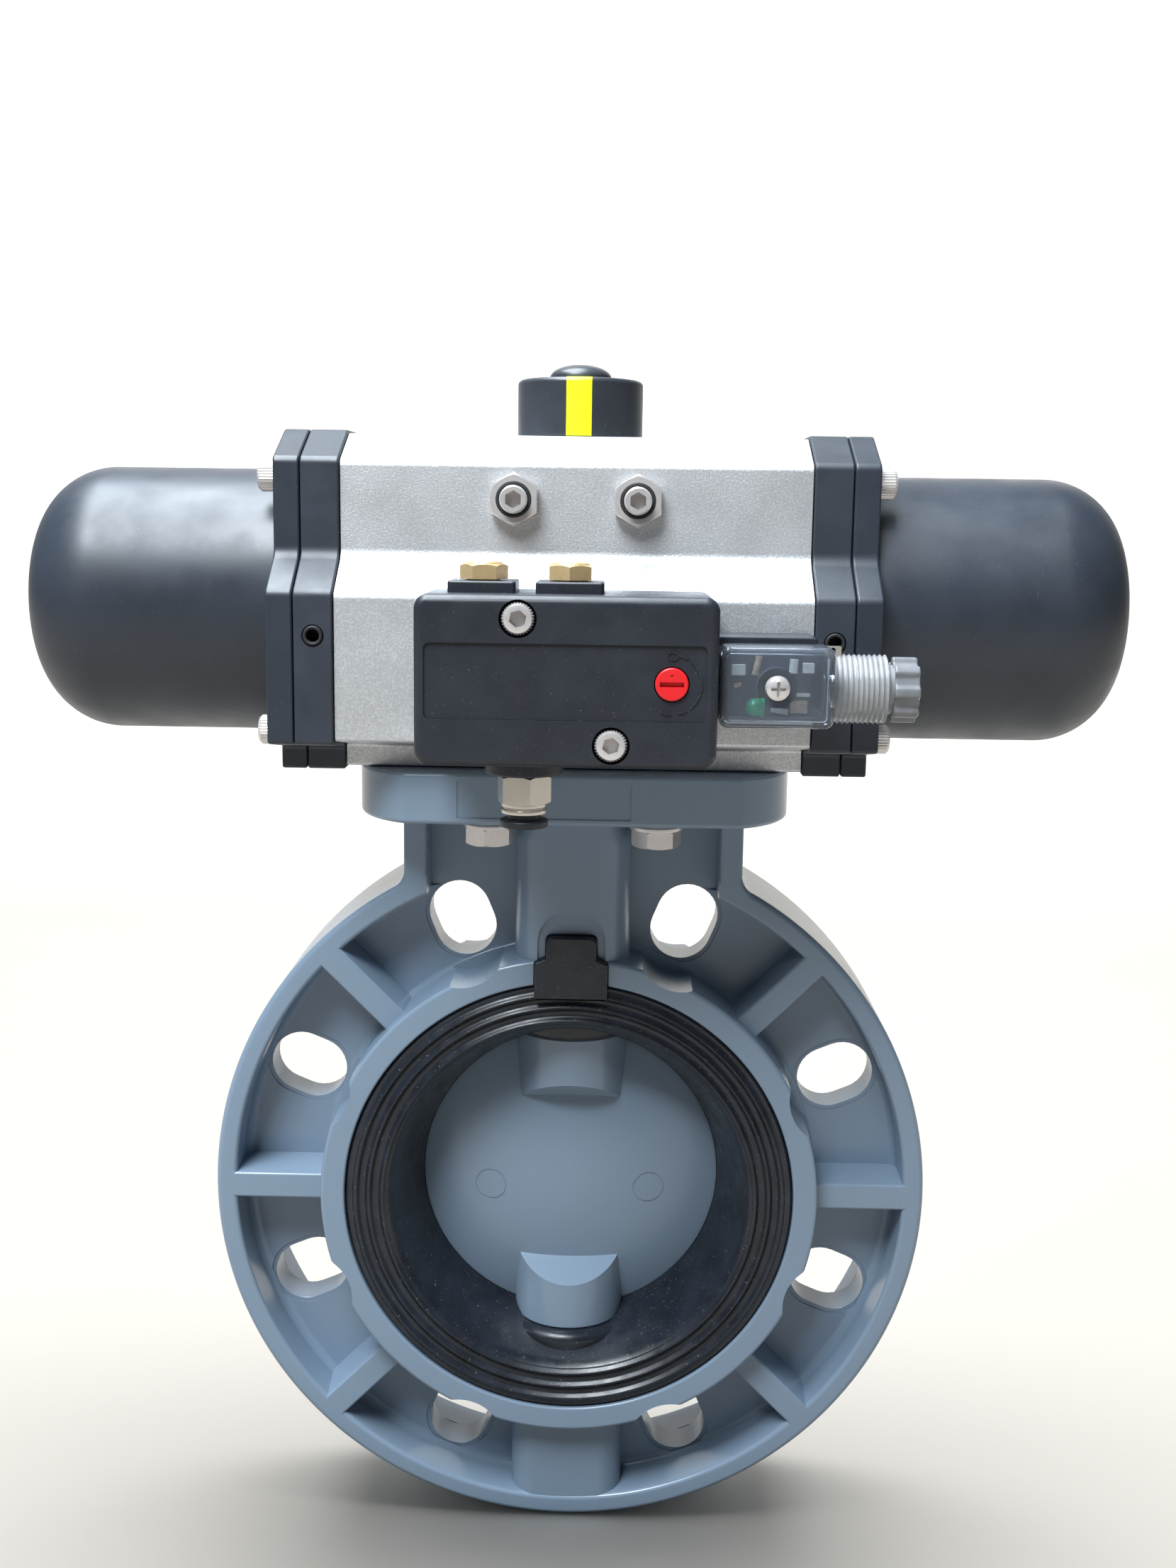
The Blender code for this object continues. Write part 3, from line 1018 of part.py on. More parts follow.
def build_indicator():
    """Position knob with an inlaid stripe over its crown, held by a domed screw in the pinion's head."""
    edge = INDICATOR_EDGE
    bottom, top, radius = INDICATOR_BOTTOM, INDICATOR_TOP, INDICATOR_RADIUS
    crown = arc(radius - edge, top - edge, edge, 0, 90, 2)
    knob = turned("indicator_knob", "Z", [(0.0, bottom), (radius, bottom)] + crown + [(0.0, top)], CASE_SIDES)
    wide = STRIPE_HALF_WIDTH + GAP
    deep = STRIPE_THICKNESS + GAP
    head = ROOF_Z + PINION_HEAD
    reach = radius + GAP
    trough = [
        (-reach, bottom - GAP), (-reach, top + GAP), (reach, top + GAP), (reach, bottom - GAP),
        (radius - deep, bottom - GAP), (radius - deep, top - deep), (deep - radius, top - deep),
        (deep - radius, bottom - GAP),
    ]
    cut(
        knob,
        rod("socket", "Z", (0, 0), PINION_NECK_RADIUS + GAP, bottom - GAP, head + GAP, BUSH_SIDES),
        rod("hole", "Z", (0, 0), M5_RADIUS + GAP, head, top + GAP, DRILL_SIDES),
        prism("trough", "X", trough, -wide, wide),
    )
    finish(knob, "indicator_plastic")

    stripe = prism("indicator_stripe", "X", [
        (radius, bottom), (radius, top - edge), (radius - edge, top), (edge - radius, top), (-radius, top - edge),
        (-radius, bottom), (STRIPE_THICKNESS - radius, bottom), (STRIPE_THICKNESS - radius, top - STRIPE_THICKNESS),
        (radius - STRIPE_THICKNESS, top - STRIPE_THICKNESS), (radius - STRIPE_THICKNESS, bottom),
    ], -STRIPE_HALF_WIDTH, STRIPE_HALF_WIDTH)
    common(stripe, rod("edge", "Z", (0, 0), radius, bottom - GAP, top + GAP, CASE_SIDES))
    cut(stripe, rod("hole", "Z", (0, 0), M5_RADIUS + GAP, bottom, top + GAP, DRILL_SIDES))
    finish(stripe, "indicator_yellow")

    seat = top + GAP
    dome = [(DOME_RADIUS * math.cos(a), seat + DOME_RIM + (DOME_HEIGHT - DOME_RIM) * math.sin(a))
            for a in (math.radians(30 * i) for i in range(3))]
    shank = head - INDICATOR_SCREW_GRIP
    profile = [(0.0, shank), (M5_RADIUS, shank), (M5_RADIUS, seat), (DOME_RADIUS, seat)] + dome
    screw = turned("indicator_screw", "Z", profile + [(0.0, seat + DOME_HEIGHT)], BUSH_SIDES)
    finish(screw, "indicator_plastic")


# ---- the solenoid valve ------------------------------------------------------------------------------
def build_gasket():
    half_x, half_z = INTERFACE_HALF_X + GASKET_MARGIN, INTERFACE_HALF_Z + GASKET_MARGIN
    outline = rounded_rectangle(
        INTERFACE_X - half_x, INTERFACE_X + half_x, INTERFACE_Z - half_z, INTERFACE_Z + half_z, SOLENOID_CORNER,
    )
    back = GASKET_Y
    gasket = prism("interface_gasket", "Y", outline, back - GASKET_THICKNESS, back)
    low, high = back - GASKET_THICKNESS - GAP, back + GAP
    holes = [rod("port", "Y", place, PORT_RADIUS, low, high, DRILL_SIDES) for place in interface_port_places()]
    thread = M5_RADIUS + M5_CLEARANCE
    holes += [rod("hole", "Y", place, thread, low, high, DRILL_SIDES) for place in interface_screw_places()]
    cut(gasket, *holes)
    return finish(gasket, "seal_rubber")


def build_solenoid_body():
    """Moulded valve block with its sunk panel, port bosses, screw holes, spool bore and air passages."""
    face, back = SOLENOID_FACE_Y, SOLENOID_BACK_Y
    left, right, bottom, top = SOLENOID_LEFT, SOLENOID_RIGHT, SOLENOID_BOTTOM, SOLENOID_TOP
    block = prism("solenoid_body", "Y", rounded_rectangle(left, right, bottom, top, SOLENOID_CORNER), face, back)
    half_boss = SILENCER_BOSS_HALF_WIDTH
    boss_top = top + SILENCER_BOSS_HEIGHT
    additions = []
    for x in SILENCER_X:
        outline = rectangle(x - half_boss, x + half_boss, SILENCER_Y - half_boss, SILENCER_Y + half_boss)
        additions.append(prism("boss", "Z", outline, top - RUN_IN, boss_top))
    seat_bottom = bottom - INLET_SEAT_HEIGHT
    additions.append(
        rod("seat", "Z", (INLET_X, INLET_Y), INLET_SEAT_RADIUS, seat_bottom, bottom + RUN_IN, SHAFT_SIDES)
    )
    fuse(block, *additions)

    panel_half = PANEL_HALF_HEIGHT
    panel = rectangle(left + PANEL_MARGIN[0], right - PANEL_MARGIN[1], INTERFACE_Z - panel_half,
                      INTERFACE_Z + panel_half)
    spool_end = left + SPOOL_BORE_END_WALL
    silencer_floor = boss_top - SILENCER_THREAD_LENGTH - DRILL_POINT
    inlet_end = seat_bottom + INLET_THREAD_LENGTH + DRILL_POINT
    inlet = (INLET_X, INLET_Y)
    knob = (OVERRIDE_X, INTERFACE_Z)
    cuts = [
        prism("panel", "Y", panel, face - GAP, face + PANEL_DEPTH),
        rod("spool_bore", "X", (SPOOL_Y, INTERFACE_Z), SPOOL_BORE_RADIUS, spool_end, right + GAP, SMALL_SIDES),
        rod("inlet_thread", "Z", inlet, INLET_THREAD_RADIUS + GAP, seat_bottom - GAP, inlet_end, SMALL_SIDES),
        rod("inlet_passage", "Z", inlet, PORT_RADIUS, inlet_end - GAP, INTERFACE_Z, DRILL_SIDES),
        rod("knob_seat", "Y", knob, OVERRIDE_RADIUS + GAP, face - GAP, face + OVERRIDE_LENGTH + GAP, BUSH_SIDES),
    ]
    for x in SILENCER_X:
        centre = (x, SILENCER_Y)
        cuts.append(rod("thread", "Z", centre, SILENCER_THREAD_RADIUS + GAP, silencer_floor, boss_top + GAP, DRILL_SIDES))
        cuts.append(rod("exhaust", "Z", centre, PORT_RADIUS, INTERFACE_Z, silencer_floor + GAP, DRILL_SIDES))
    for place in interface_screw_places():
        cuts.append(rod("hole", "Y", place, M5_RADIUS + M5_CLEARANCE, face, back + GAP, DRILL_SIDES))
        bore = M5_HEAD_RADIUS + M5_CLEARANCE
        cuts.append(rod("counterbore", "Y", place, bore, face - GAP, face + COUNTERBORE_DEPTH, SMALL_SIDES))
    for place in interface_port_places():
        cuts.append(rod("port", "Y", place, PORT_RADIUS, SPOOL_Y, back + GAP, DRILL_SIDES))
    cut(block, *cuts)
    return finish(block, "solenoid_plastic")


def build_interface_screws():
    """Two socket screws clamp the solenoid valve on the housing."""
    seat = SOLENOID_FACE_Y + COUNTERBORE_DEPTH - GAP
    tip = INTERFACE_SCREW_GRIP - SHOULDER_Y
    top = seat - M5_HEAD_HEIGHT
    profile = [
        (0.0, tip), (M5_RADIUS, tip), (M5_RADIUS, seat), (M5_HEAD_RADIUS, seat),
        (M5_HEAD_RADIUS, top), (0.0, top),
    ]
    for word, place in zip(("upper", "lower"), interface_screw_places()):
        screw = turned("screw", "Y", profile, SMALL_SIDES, place)
        cut(screw, prism("socket", "Y", hexagon(*place, M5_SOCKET_FLATS), top - GAP, top + M5_SOCKET_DEPTH))
        screw.name = f"solenoid_screw_{word}"
        finish(screw, "stainless")


def build_spool():
    """Spool with three lands, free to shift in the block's bore."""
    start = SOLENOID_LEFT + SPOOL_BORE_END_WALL + SPOOL_TRAVEL + GAP
    radius = SPOOL_BORE_RADIUS - GAP
    waist = SPOOL_WAIST_RADIUS
    spacing = (SPOOL_LENGTH - SPOOL_LAND) / 2
    profile = [(0.0, start)]
    for land in range(3):
        x = start + land * spacing
        step = [(waist, x)] if land else []
        profile += step + [(radius, x), (radius, x + SPOOL_LAND)]
        profile += [(waist, x + SPOOL_LAND)] if land < 2 else []
    profile.append((0.0, start + SPOOL_LENGTH))
    spool = turned("spool", "X", profile, SMALL_SIDES, (SPOOL_Y, INTERFACE_Z))
    return finish(spool, "anodised_aluminium", (0.0, SPOOL_Y, INTERFACE_Z))


def build_override_knob():
    centre = (OVERRIDE_X, INTERFACE_Z)
    face = SOLENOID_FACE_Y
    knob = rod("override_knob", "Y", centre, OVERRIDE_RADIUS, face - GAP, face + OVERRIDE_LENGTH, BUSH_SIDES)
    half = OVERRIDE_SLOT_WIDTH / 2
    reach = OVERRIDE_RADIUS * OVERRIDE_SLOT_REACH
    slot = rectangle(OVERRIDE_X - reach, OVERRIDE_X + reach, INTERFACE_Z - half, INTERFACE_Z + half)
    cut(knob, prism("slot", "Y", slot, face - 2 * GAP, face + OVERRIDE_SLOT_DEPTH))
    return finish(knob, "override_red", (OVERRIDE_X, face, INTERFACE_Z))


def build_silencers():
    """Brass exhaust silencers on the block's two square bosses."""
    seat = SOLENOID_TOP + SILENCER_BOSS_HEIGHT + GAP
    for word, x in zip(("left", "right"), SILENCER_X):
        centre = (x, SILENCER_Y)
        head = prism("head", "Z", hexagon(*centre, SILENCER_FLATS), seat, seat + SILENCER_HEX_HEIGHT)
        crown = rod("crown", "Z", centre, SILENCER_CROWN_RADIUS, seat, seat + SILENCER_HEAD_HEIGHT, SMALL_SIDES)
        thread_low = seat - SILENCER_THREAD_LENGTH
        fuse(head, crown, rod("thread", "Z", centre, SILENCER_THREAD_RADIUS, thread_low, seat + GAP, DRILL_SIDES))
        head.name = f"silencer_{word}"
        finish(head, "silencer_brass")


def build_air_fitting():
    """Push-in fitting under the block: thread, hexagon, neck, and a release collar that slides in its mouth."""
    centre = (INLET_X, INLET_Y)
    seat = SOLENOID_BOTTOM - INLET_SEAT_HEIGHT - GAP
    hex_bottom = seat - FITTING_HEX_HEIGHT
    mouth = hex_bottom - FITTING_NECK_HEIGHT
    fitting = prism("air_fitting", "Z", hexagon(*centre, FITTING_FLATS), hex_bottom, seat)
    fuse(
        fitting,
        rod("thread", "Z", centre, INLET_THREAD_RADIUS, seat - GAP, seat + INLET_THREAD_LENGTH, SMALL_SIDES),
        rod("neck", "Z", centre, FITTING_NECK_RADIUS, mouth, hex_bottom + GAP, BUSH_SIDES),
    )
    throat = mouth + COLLAR_SLEEVE_LENGTH + COLLAR_TRAVEL + GAP
    cut(
        fitting,
        rod("mouth", "Z", centre, FITTING_BORE, mouth - GAP, throat, BUSH_SIDES),
        rod("passage", "Z", centre, TUBE_BORE, throat - GAP, seat + INLET_THREAD_LENGTH + GAP, SMALL_SIDES),
    )
    finish(fitting, "fitting_nickel")

    flange_top = mouth - COLLAR_TRAVEL - GAP
    flange_bottom = flange_top - COLLAR_FLANGE_HEIGHT
    sleeve_top = mouth + COLLAR_SLEEVE_LENGTH
    sleeve = FITTING_BORE - GAP
    profile = [
        (TUBE_BORE, flange_bottom), (COLLAR_FLANGE_RADIUS, flange_bottom), (COLLAR_FLANGE_RADIUS, flange_top),
        (sleeve, flange_top), (sleeve, sleeve_top), (TUBE_BORE, sleeve_top),
    ]
    collar = turned("release_collar", "Z", profile, BUSH_SIDES, centre)
    return finish(collar, "solenoid_plastic", (INLET_X, INLET_Y, flange_bottom))


def build_coil():
    """Coil housing beside the block, with the plunger that opens the pilot in its bore."""
    low, high = INTERFACE_Z - COIL_HALF_HEIGHT, INTERFACE_Z + COIL_HALF_HEIGHT
    outline = rounded_rectangle(COIL_X, COIL_X + COIL_LENGTH, low, high, CONNECTOR_CORNER)
    coil = prism("coil_housing", "Y", outline, COIL_FRONT_Y, COIL_BACK_Y)
    bore_y = (COIL_FRONT_Y + COIL_BACK_Y) / 2
    bore_end = COIL_X + PLUNGER_LENGTH + PLUNGER_TRAVEL + DRILL_POINT
    cut(coil, rod("bore", "X", (bore_y, INTERFACE_Z), COIL_BORE_RADIUS, COIL_X - GAP, bore_end, SMALL_SIDES))
    finish(coil, "solenoid_plastic")
    origin = (COIL_X, bore_y, INTERFACE_Z)
    rod_ends = (COIL_X + GAP, COIL_X + PLUNGER_LENGTH)
    plunger = rod("plunger", "X", (bore_y, INTERFACE_Z), PLUNGER_RADIUS, *rod_ends, SMALL_SIDES)
    finish(plunger, "pinion_steel", origin)


def build_connector():
    """Clear-housed plug on the coil: terminal base, hollow housing with its cable gland, lamp board, screw."""
    left = COIL_X + GAP
    right = left + CONNECTOR_LENGTH
    bottom, top = AXIS_Z + CONNECTOR_BOTTOM, AXIS_Z + CONNECTOR_TOP
    wall = CONNECTOR_WALL
    face, back = CONNECTOR_FACE_Y, CONNECTOR_BACK_Y
    middle = ((left + right) / 2, CONNECTOR_Z)
    screw = CONNECTOR_SCREW_RADIUS

    base_outline = rounded_rectangle(
        left + BASE_MARGIN, right - 2 * BASE_MARGIN, bottom + BASE_MARGIN, top - BASE_MARGIN, CONNECTOR_CORNER,
    )
    base_front = back + GAP
    screw_end = base_front + CONNECTOR_SCREW_GRIP
    base = prism("connector_base", "Y", base_outline, base_front, base_front + CONNECTOR_BASE_THICKNESS)
    cut(base, rod("hole", "Y", middle, screw + GAP, base_front - GAP, screw_end + GAP, DRILL_SIDES))
    finish(base, "solenoid_plastic")

    shell = prism("connector_housing", "Y", rounded_rectangle(left, right, bottom, top, CONNECTOR_CORNER), face, back)
    gland_end = right + GLAND_LENGTH
    tail_end = gland_end + GLAND_TAIL_LENGTH
    gland = (GLAND_Y, GLAND_Z)
    fuse(
        shell,
        rod("gland", "X", gland, GLAND_RADIUS, right - wall, gland_end, SHAFT_SIDES),
        rod("tail", "X", gland, GLAND_TAIL_RADIUS, gland_end - GAP, tail_end, BUSH_SIDES),
    )
    cavity = rounded_rectangle(left + wall, right - wall, bottom + wall, top - wall, CONNECTOR_CORNER / 2)
    cut(
        shell,
        prism("cavity", "Y", cavity, face + wall, back + GAP),
        rod("gland_bore", "X", gland, GLAND_BORE, right - 2 * wall, tail_end + GAP, SMALL_SIDES),
        rod("screw_hole", "Y", middle, screw + GAP, face - GAP, face + 2 * wall, DRILL_SIDES),
    )
    finish(shell, "clear_plastic")

    inset = wall + 2 * GAP
    board_outline = rectangle(left + inset, right - inset, bottom + inset, top - inset)
    board_front = face + BOARD_BEHIND_FACE
    board = prism("connector_board", "Y", board_outline, board_front, board_front + BOARD_THICKNESS)
    window = GLAND_BORE + 2 * GAP
    cable_path = rectangle(right - BOARD_NOTCH, right, GLAND_Z - window, GLAND_Z + window)
    cut(
        board,
        rod("hole", "Y", middle, screw + 2 * GAP, board_front - GAP, board_front + BOARD_THICKNESS + GAP, DRILL_SIDES),
        prism("cable_path", "Y", cable_path, board_front - GAP, board_front + BOARD_THICKNESS + GAP),
    )
    finish(board, "board_green")

    seat = face - GAP
    head = CONNECTOR_SCREW_HEAD_RADIUS
    head_top = seat - CONNECTOR_SCREW_HEAD_HEIGHT
    profile = [
        (0.0, head_top), (head * 0.8, head_top), (head, (head_top + seat) / 2), (head, seat),
        (screw, seat), (screw, screw_end), (0.0, screw_end),
    ]
    finish(turned("connector_screw", "Y", profile, DRILL_SIDES, middle), "stainless")

    lobes = GLAND_NUT_LOBES
    outline = []
    for i in range(lobes * 2):
        angle = 2 * math.pi * (i + 0.5) / (lobes * 2)
        radius = GLAND_NUT_RADIUS * (1.0 if i % 2 else GLAND_NUT_VALLEY)
        outline.append((GLAND_Y + radius * math.cos(angle), GLAND_Z + radius * math.sin(angle)))
    nut_start = gland_end + 2 * GAP
    nut_end = nut_start + GLAND_NUT_LENGTH
    nut = prism("gland_nut", "X", outline, nut_start, nut_end)
    cut(
        nut,
        rod("thread", "X", gland, GLAND_TAIL_RADIUS + GAP, nut_start - GAP, tail_end + GAP, BUSH_SIDES),
        rod("cable_hole", "X", gland, GLAND_BORE, nut_start, nut_end + GAP, SMALL_SIDES),
    )
    return finish(nut, "gland_plastic")


def build():
    for leftover in list(bpy.data.objects):
        bpy.data.objects.remove(leftover)
    build_valve_body()
    build_liner()
    build_disc()
    build_stem()
    build_stem_bearings()
    build_mounting_bolts()
    build_housing()
    for side in (-1, 1):
        build_cap(side)
        build_can(side)
    build_cap_screws()
    build_stop_screws()
    build_pinion()
    build_pinion_bushes()
    build_pistons()
    build_springs()
    build_indicator()
    build_gasket()
    build_solenoid_body()
    build_interface_screws()
    build_spool()
    build_override_knob()
    build_silencers()
    build_air_fitting()
    build_coil()
    build_connector()


build()
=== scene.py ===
# %% [markdown]
# # A wafer butterfly valve with an air actuator
#
# The real object is a moulded plastic valve that is clamped between two pipe flanges. A disc on a
# stem turns a quarter turn inside a rubber liner, and an aluminium air cylinder with a spring can at
# each end turns the stem. A small solenoid valve on the front lets the air in. The working model
# already fixes where everything is, so this lesson loads it first and then dresses each part in a
# finer surface of the same size.

# %% Load the working model
import json
import math

import bmesh
import bpy
import numpy as np
from mathutils import Euler, Matrix, Vector


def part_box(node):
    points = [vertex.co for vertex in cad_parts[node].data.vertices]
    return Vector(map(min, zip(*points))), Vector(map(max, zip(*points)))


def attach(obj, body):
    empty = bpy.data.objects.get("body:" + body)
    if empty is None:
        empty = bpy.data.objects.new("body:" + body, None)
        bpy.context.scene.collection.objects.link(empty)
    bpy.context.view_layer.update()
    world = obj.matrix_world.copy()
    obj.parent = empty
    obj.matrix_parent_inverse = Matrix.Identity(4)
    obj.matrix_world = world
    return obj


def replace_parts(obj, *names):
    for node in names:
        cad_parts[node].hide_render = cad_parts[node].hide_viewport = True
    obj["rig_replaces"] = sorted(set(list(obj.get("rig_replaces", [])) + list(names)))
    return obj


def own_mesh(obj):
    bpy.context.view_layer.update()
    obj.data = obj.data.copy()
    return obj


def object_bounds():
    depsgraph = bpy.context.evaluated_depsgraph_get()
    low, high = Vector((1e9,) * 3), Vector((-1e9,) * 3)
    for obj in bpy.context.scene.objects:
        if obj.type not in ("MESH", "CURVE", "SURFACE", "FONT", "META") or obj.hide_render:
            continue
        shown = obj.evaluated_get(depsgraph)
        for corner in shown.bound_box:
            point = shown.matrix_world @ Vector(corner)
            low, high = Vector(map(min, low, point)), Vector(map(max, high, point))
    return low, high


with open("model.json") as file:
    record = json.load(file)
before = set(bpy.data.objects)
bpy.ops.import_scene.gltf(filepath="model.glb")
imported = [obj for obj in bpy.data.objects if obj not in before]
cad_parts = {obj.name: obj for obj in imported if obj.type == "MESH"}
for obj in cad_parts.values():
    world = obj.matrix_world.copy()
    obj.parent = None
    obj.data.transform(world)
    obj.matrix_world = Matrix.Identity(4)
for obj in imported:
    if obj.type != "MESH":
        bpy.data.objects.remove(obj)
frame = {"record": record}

cad_box = [list(corner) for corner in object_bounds()]
MM = 0.001
BODY_OF = {node: body for body, nodes in frame["record"]["behaviour"]["bodies"].items() for node in nodes}

# %% [markdown]
# ## Tools: a grid of points becomes a closed skin
#
# Every new piece is a table of points with rows and columns. Each row is one closed ring, and the
# skin joins neighbouring rows with four-sided faces. Written this way a whole shape is a few array
# formulas, with no loop over its points, and it can be made as fine as the finish needs by changing
# one count.

# %% Turn plan coordinates into places
ORDER = {"X": [2, 0, 1], "Y": [0, 2, 1], "Z": [0, 1, 2]}
ACROSS = {"X": [1, 2], "Y": [0, 2], "Z": [0, 1]}


def placed(u, v, w, axis):
    """Points from two plan coordinates u, v and a height w along an axis: X takes u, v as y, z; Y as x,
    z."""
    return np.stack(np.broadcast_arrays(u, v, w), axis=-1)[..., ORDER[axis]]


def span(node):
    """The lowest and highest corner of a part of the working model, as two rows."""
    return np.array([list(corner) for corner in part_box(node)])


def middle_of(node, axis):
    """The middle of a part of the working model, as its two plan coordinates across an axis."""
    low, high = span(node)
    return tuple(((low + high) / 2)[ACROSS[axis]])


def paired(u, v):
    """Two rows of numbers as one table of points (u, v)."""
    return np.stack([u, v], axis=-1)


def quarter_turn(count):
    """Evenly spaced angles from 0 to 90 degrees."""
    return np.linspace(0, math.pi / 2, count)


def full_turn(count):
    """Evenly spaced angles once round, without the last one, which would repeat the first."""
    return np.linspace(0, 2 * math.pi, count, endpoint=False)


print("valve body spans, in mm:", np.round(span("valve_body") / MM, 1).tolist())


# %% Join rows of points into a closed skin
def object_of(name, mesh):
    """An object for a mesh, after equal points are merged and the faces are turned outwards."""
    bm = bmesh.new()
    bm.from_mesh(mesh)
    bmesh.ops.remove_doubles(bm, verts=bm.verts, dist=0.002 * MM)
    bmesh.ops.recalc_face_normals(bm, faces=bm.faces)
    bm.to_mesh(mesh)
    bm.free()
    piece = bpy.data.objects.new(name, mesh)
    bpy.context.scene.collection.objects.link(piece)
    return piece


def quads(index):
    """Faces between neighbouring rows and columns of a table of point numbers, four corners each."""
    corners = [index[:-1, :-1], index[:-1, 1:], index[1:, 1:], index[1:, :-1]]
    return np.stack(corners, axis=-1).reshape(-1, 4).tolist()


def skin(name, rings, ends="capped"):
    """A closed surface over rows of points. ends is capped (a face on the first and the last row),
    joined (the last row meets the first) or drawn_in (the end rows have already shrunk to a point)."""
    rows, columns = rings.shape[:2]
    index = np.arange(rows * columns).reshape(rows, columns)
    index = np.vstack([index, index[:1]]) if ends == "joined" else index
    index = np.hstack([index, index[:, :1]])
    faces = quads(index)
    if ends == "capped":
        faces += [index[0, :-1].tolist(), index[-1, :-1].tolist()]
    mesh = bpy.data.meshes.new(name)
    mesh.from_pydata(rings.reshape(-1, 3), [], faces)
    return object_of(name, mesh)


# %% Round the corners of an outline
def softened(corners, radii, steps=5):
    """Each corner becomes an arc that touches both of its sides: it starts radius / tan(half the
    corner's angle) from the corner, and its centre is radius / sin(half angle) along the line that
    halves the corner."""
    points = np.asarray(corners, dtype=float)
    radius = np.broadcast_to(np.asarray(radii, dtype=float), len(points))[:, None]
    back = np.roll(points, 1, axis=0) - points
    ahead = np.roll(points, -1, axis=0) - points
    back /= np.linalg.norm(back, axis=1, keepdims=True)
    ahead /= np.linalg.norm(ahead, axis=1, keepdims=True)
    half = np.arccos(np.clip((back * ahead).sum(axis=1, keepdims=True), -1, 1)) / 2
    middle = back + ahead
    centre = points + middle / np.linalg.norm(middle, axis=1, keepdims=True) * radius / np.sin(half)
    first = points + back * radius / np.tan(half) - centre
    last = points + ahead * radius / np.tan(half) - centre
    start = np.arctan2(first[:, 1:], first[:, :1])
    sweep = (np.arctan2(last[:, 1:], last[:, :1]) - start + math.pi) % (2 * math.pi) - math.pi
    angle = start + sweep * np.linspace(0, 1, steps + 1)
    arcs = paired(centre[:, :1] + radius * np.cos(angle), centre[:, 1:] + radius * np.sin(angle))
    return arcs.reshape(-1, 2)


def box_outline(low_u, high_u, low_v, high_v, radius, steps=5):
    """A rectangle with round corners."""
    return softened([(low_u, low_v), (high_u, low_v), (high_u, high_v), (low_u, high_v)], radius, steps)


def box_about(centre, half_u, half_v, radius):
    """A rectangle with round corners, by its centre and its half sizes."""
    u, v = centre
    return box_outline(u - half_u, u + half_u, v - half_v, v + half_v, radius)


def both_sides(half):
    """A half outline at positive u, from top to bottom, closed with its mirror image."""
    half = np.asarray(half, dtype=float)
    return np.vstack([half, half[::-1] * [-1, 1]])


def circle(radius, centre=(0.0, 0.0), sides=64, start=0.0):
    """Evenly spaced points on a circle."""
    angle = start + full_turn(sides)
    return paired(centre[0] + radius * np.cos(angle), centre[1] + radius * np.sin(angle))


def hexagon(flats, centre=(0.0, 0.0), start=0.0, corner=0.25 * MM):
    """A hexagon by its width across flats, with slightly rounded corners."""
    return softened(circle(flats / math.sqrt(3), centre, 6, start), corner, 3)


print("softened square has", len(box_outline(0, 1, 0, 1, 0.1)), "points")


# %% Carry an outline straight, with rounded edges
def moved_in(outline, distance):
    """The outline moved inwards: each point goes along the sum of its two side normals, scaled so that both
    sides move by the distance."""
    ahead = np.roll(outline, -1, axis=0) - outline
    length = np.linalg.norm(ahead, axis=1, keepdims=True)
    side = ahead / np.maximum(length, 1e-12)
    normal = paired(-side[:, 1], side[:, 0])
    area = (outline[:, 0] * np.roll(outline[:, 1], -1) - np.roll(outline[:, 0], -1) * outline[:, 1]).sum()
    normal = normal * np.sign(area)
    total = normal + np.roll(normal, 1, axis=0)
    return outline + distance * total / np.maximum((total ** 2).sum(axis=1, keepdims=True) / 2, 0.2)


def moulded(name, outline, low, high, axis, edges=(0.0, 0.0), steps=4):
    """The outline carried from low to high. Near each end it draws in along a quarter circle whose
    radius is that end's edge: inset is edge (1 - sin t) at a height of edge (1 - cos t)."""
    turn = quarter_turn(steps + 1)
    rows = []
    for edge, end, way in ((edges[0], low, 1), (edges[1], high, -1)):
        insets = edge * (1 - np.sin(turn)) if edge else np.zeros(1)
        heights = end + way * edge * (1 - np.cos(turn)) if edge else np.array([end])
        rows.append(list(zip(insets, heights))[::way])
    rings = [placed(*moved_in(outline, inset).T, height, axis) for inset, height in rows[0] + rows[1]]
    return skin(name, np.array(rings))


# %% Turn a profile about an axis
def turned(name, profile, axis, centre=(0.0, 0.0), sides=96, ends="joined", ripple=0.0):
    """Points (radius, height) carried round an axis: u = centre + radius cos a, v = centre + radius sin a.
    ripple scales each column's radius, so a knurl is a ripple of cosines."""
    radius, height = np.asarray(profile, dtype=float).T[:, :, None]
    angle = full_turn(sides)[None, :]
    radius = radius * (1 + ripple)
    points = placed(centre[0] + radius * np.cos(angle), centre[1] + radius * np.sin(angle), height, axis)
    return skin(name, points, ends)


def rod(radius, low, high, axis, centre=(0.0, 0.0), sides=48):
    """A plain round bar, for cutting holes."""
    return moulded("rod", circle(radius, centre, sides), low, high, axis)


# %% Add and take away solids
def combined(piece, others, operation):
    """The piece after each other solid is added to it or taken from it. The others are used up."""
    for other in others:
        step = piece.modifiers.new(operation, "BOOLEAN")
        step.operation = operation
        step.solver = "MANIFOLD"
        step.object = other
    bpy.context.view_layer.update()
    whole = piece.evaluated_get(bpy.context.evaluated_depsgraph_get())
    mesh = bpy.data.meshes.new_from_object(whole)
    piece.modifiers.clear()
    piece.data = mesh
    for other in others:
        bpy.data.objects.remove(other)
    return piece


def fused(piece, *others):
    """The piece joined with the others."""
    return combined(piece, others, "UNION")


def carved(piece, *others):
    """The piece less the others."""
    return combined(piece, others, "DIFFERENCE")


def trimmed(piece, *others):
    """What the piece and the others have in common."""
    return combined(piece, others, "INTERSECT")


# %% Finish a piece
SHARP_ANGLE = math.radians(32)
made = []


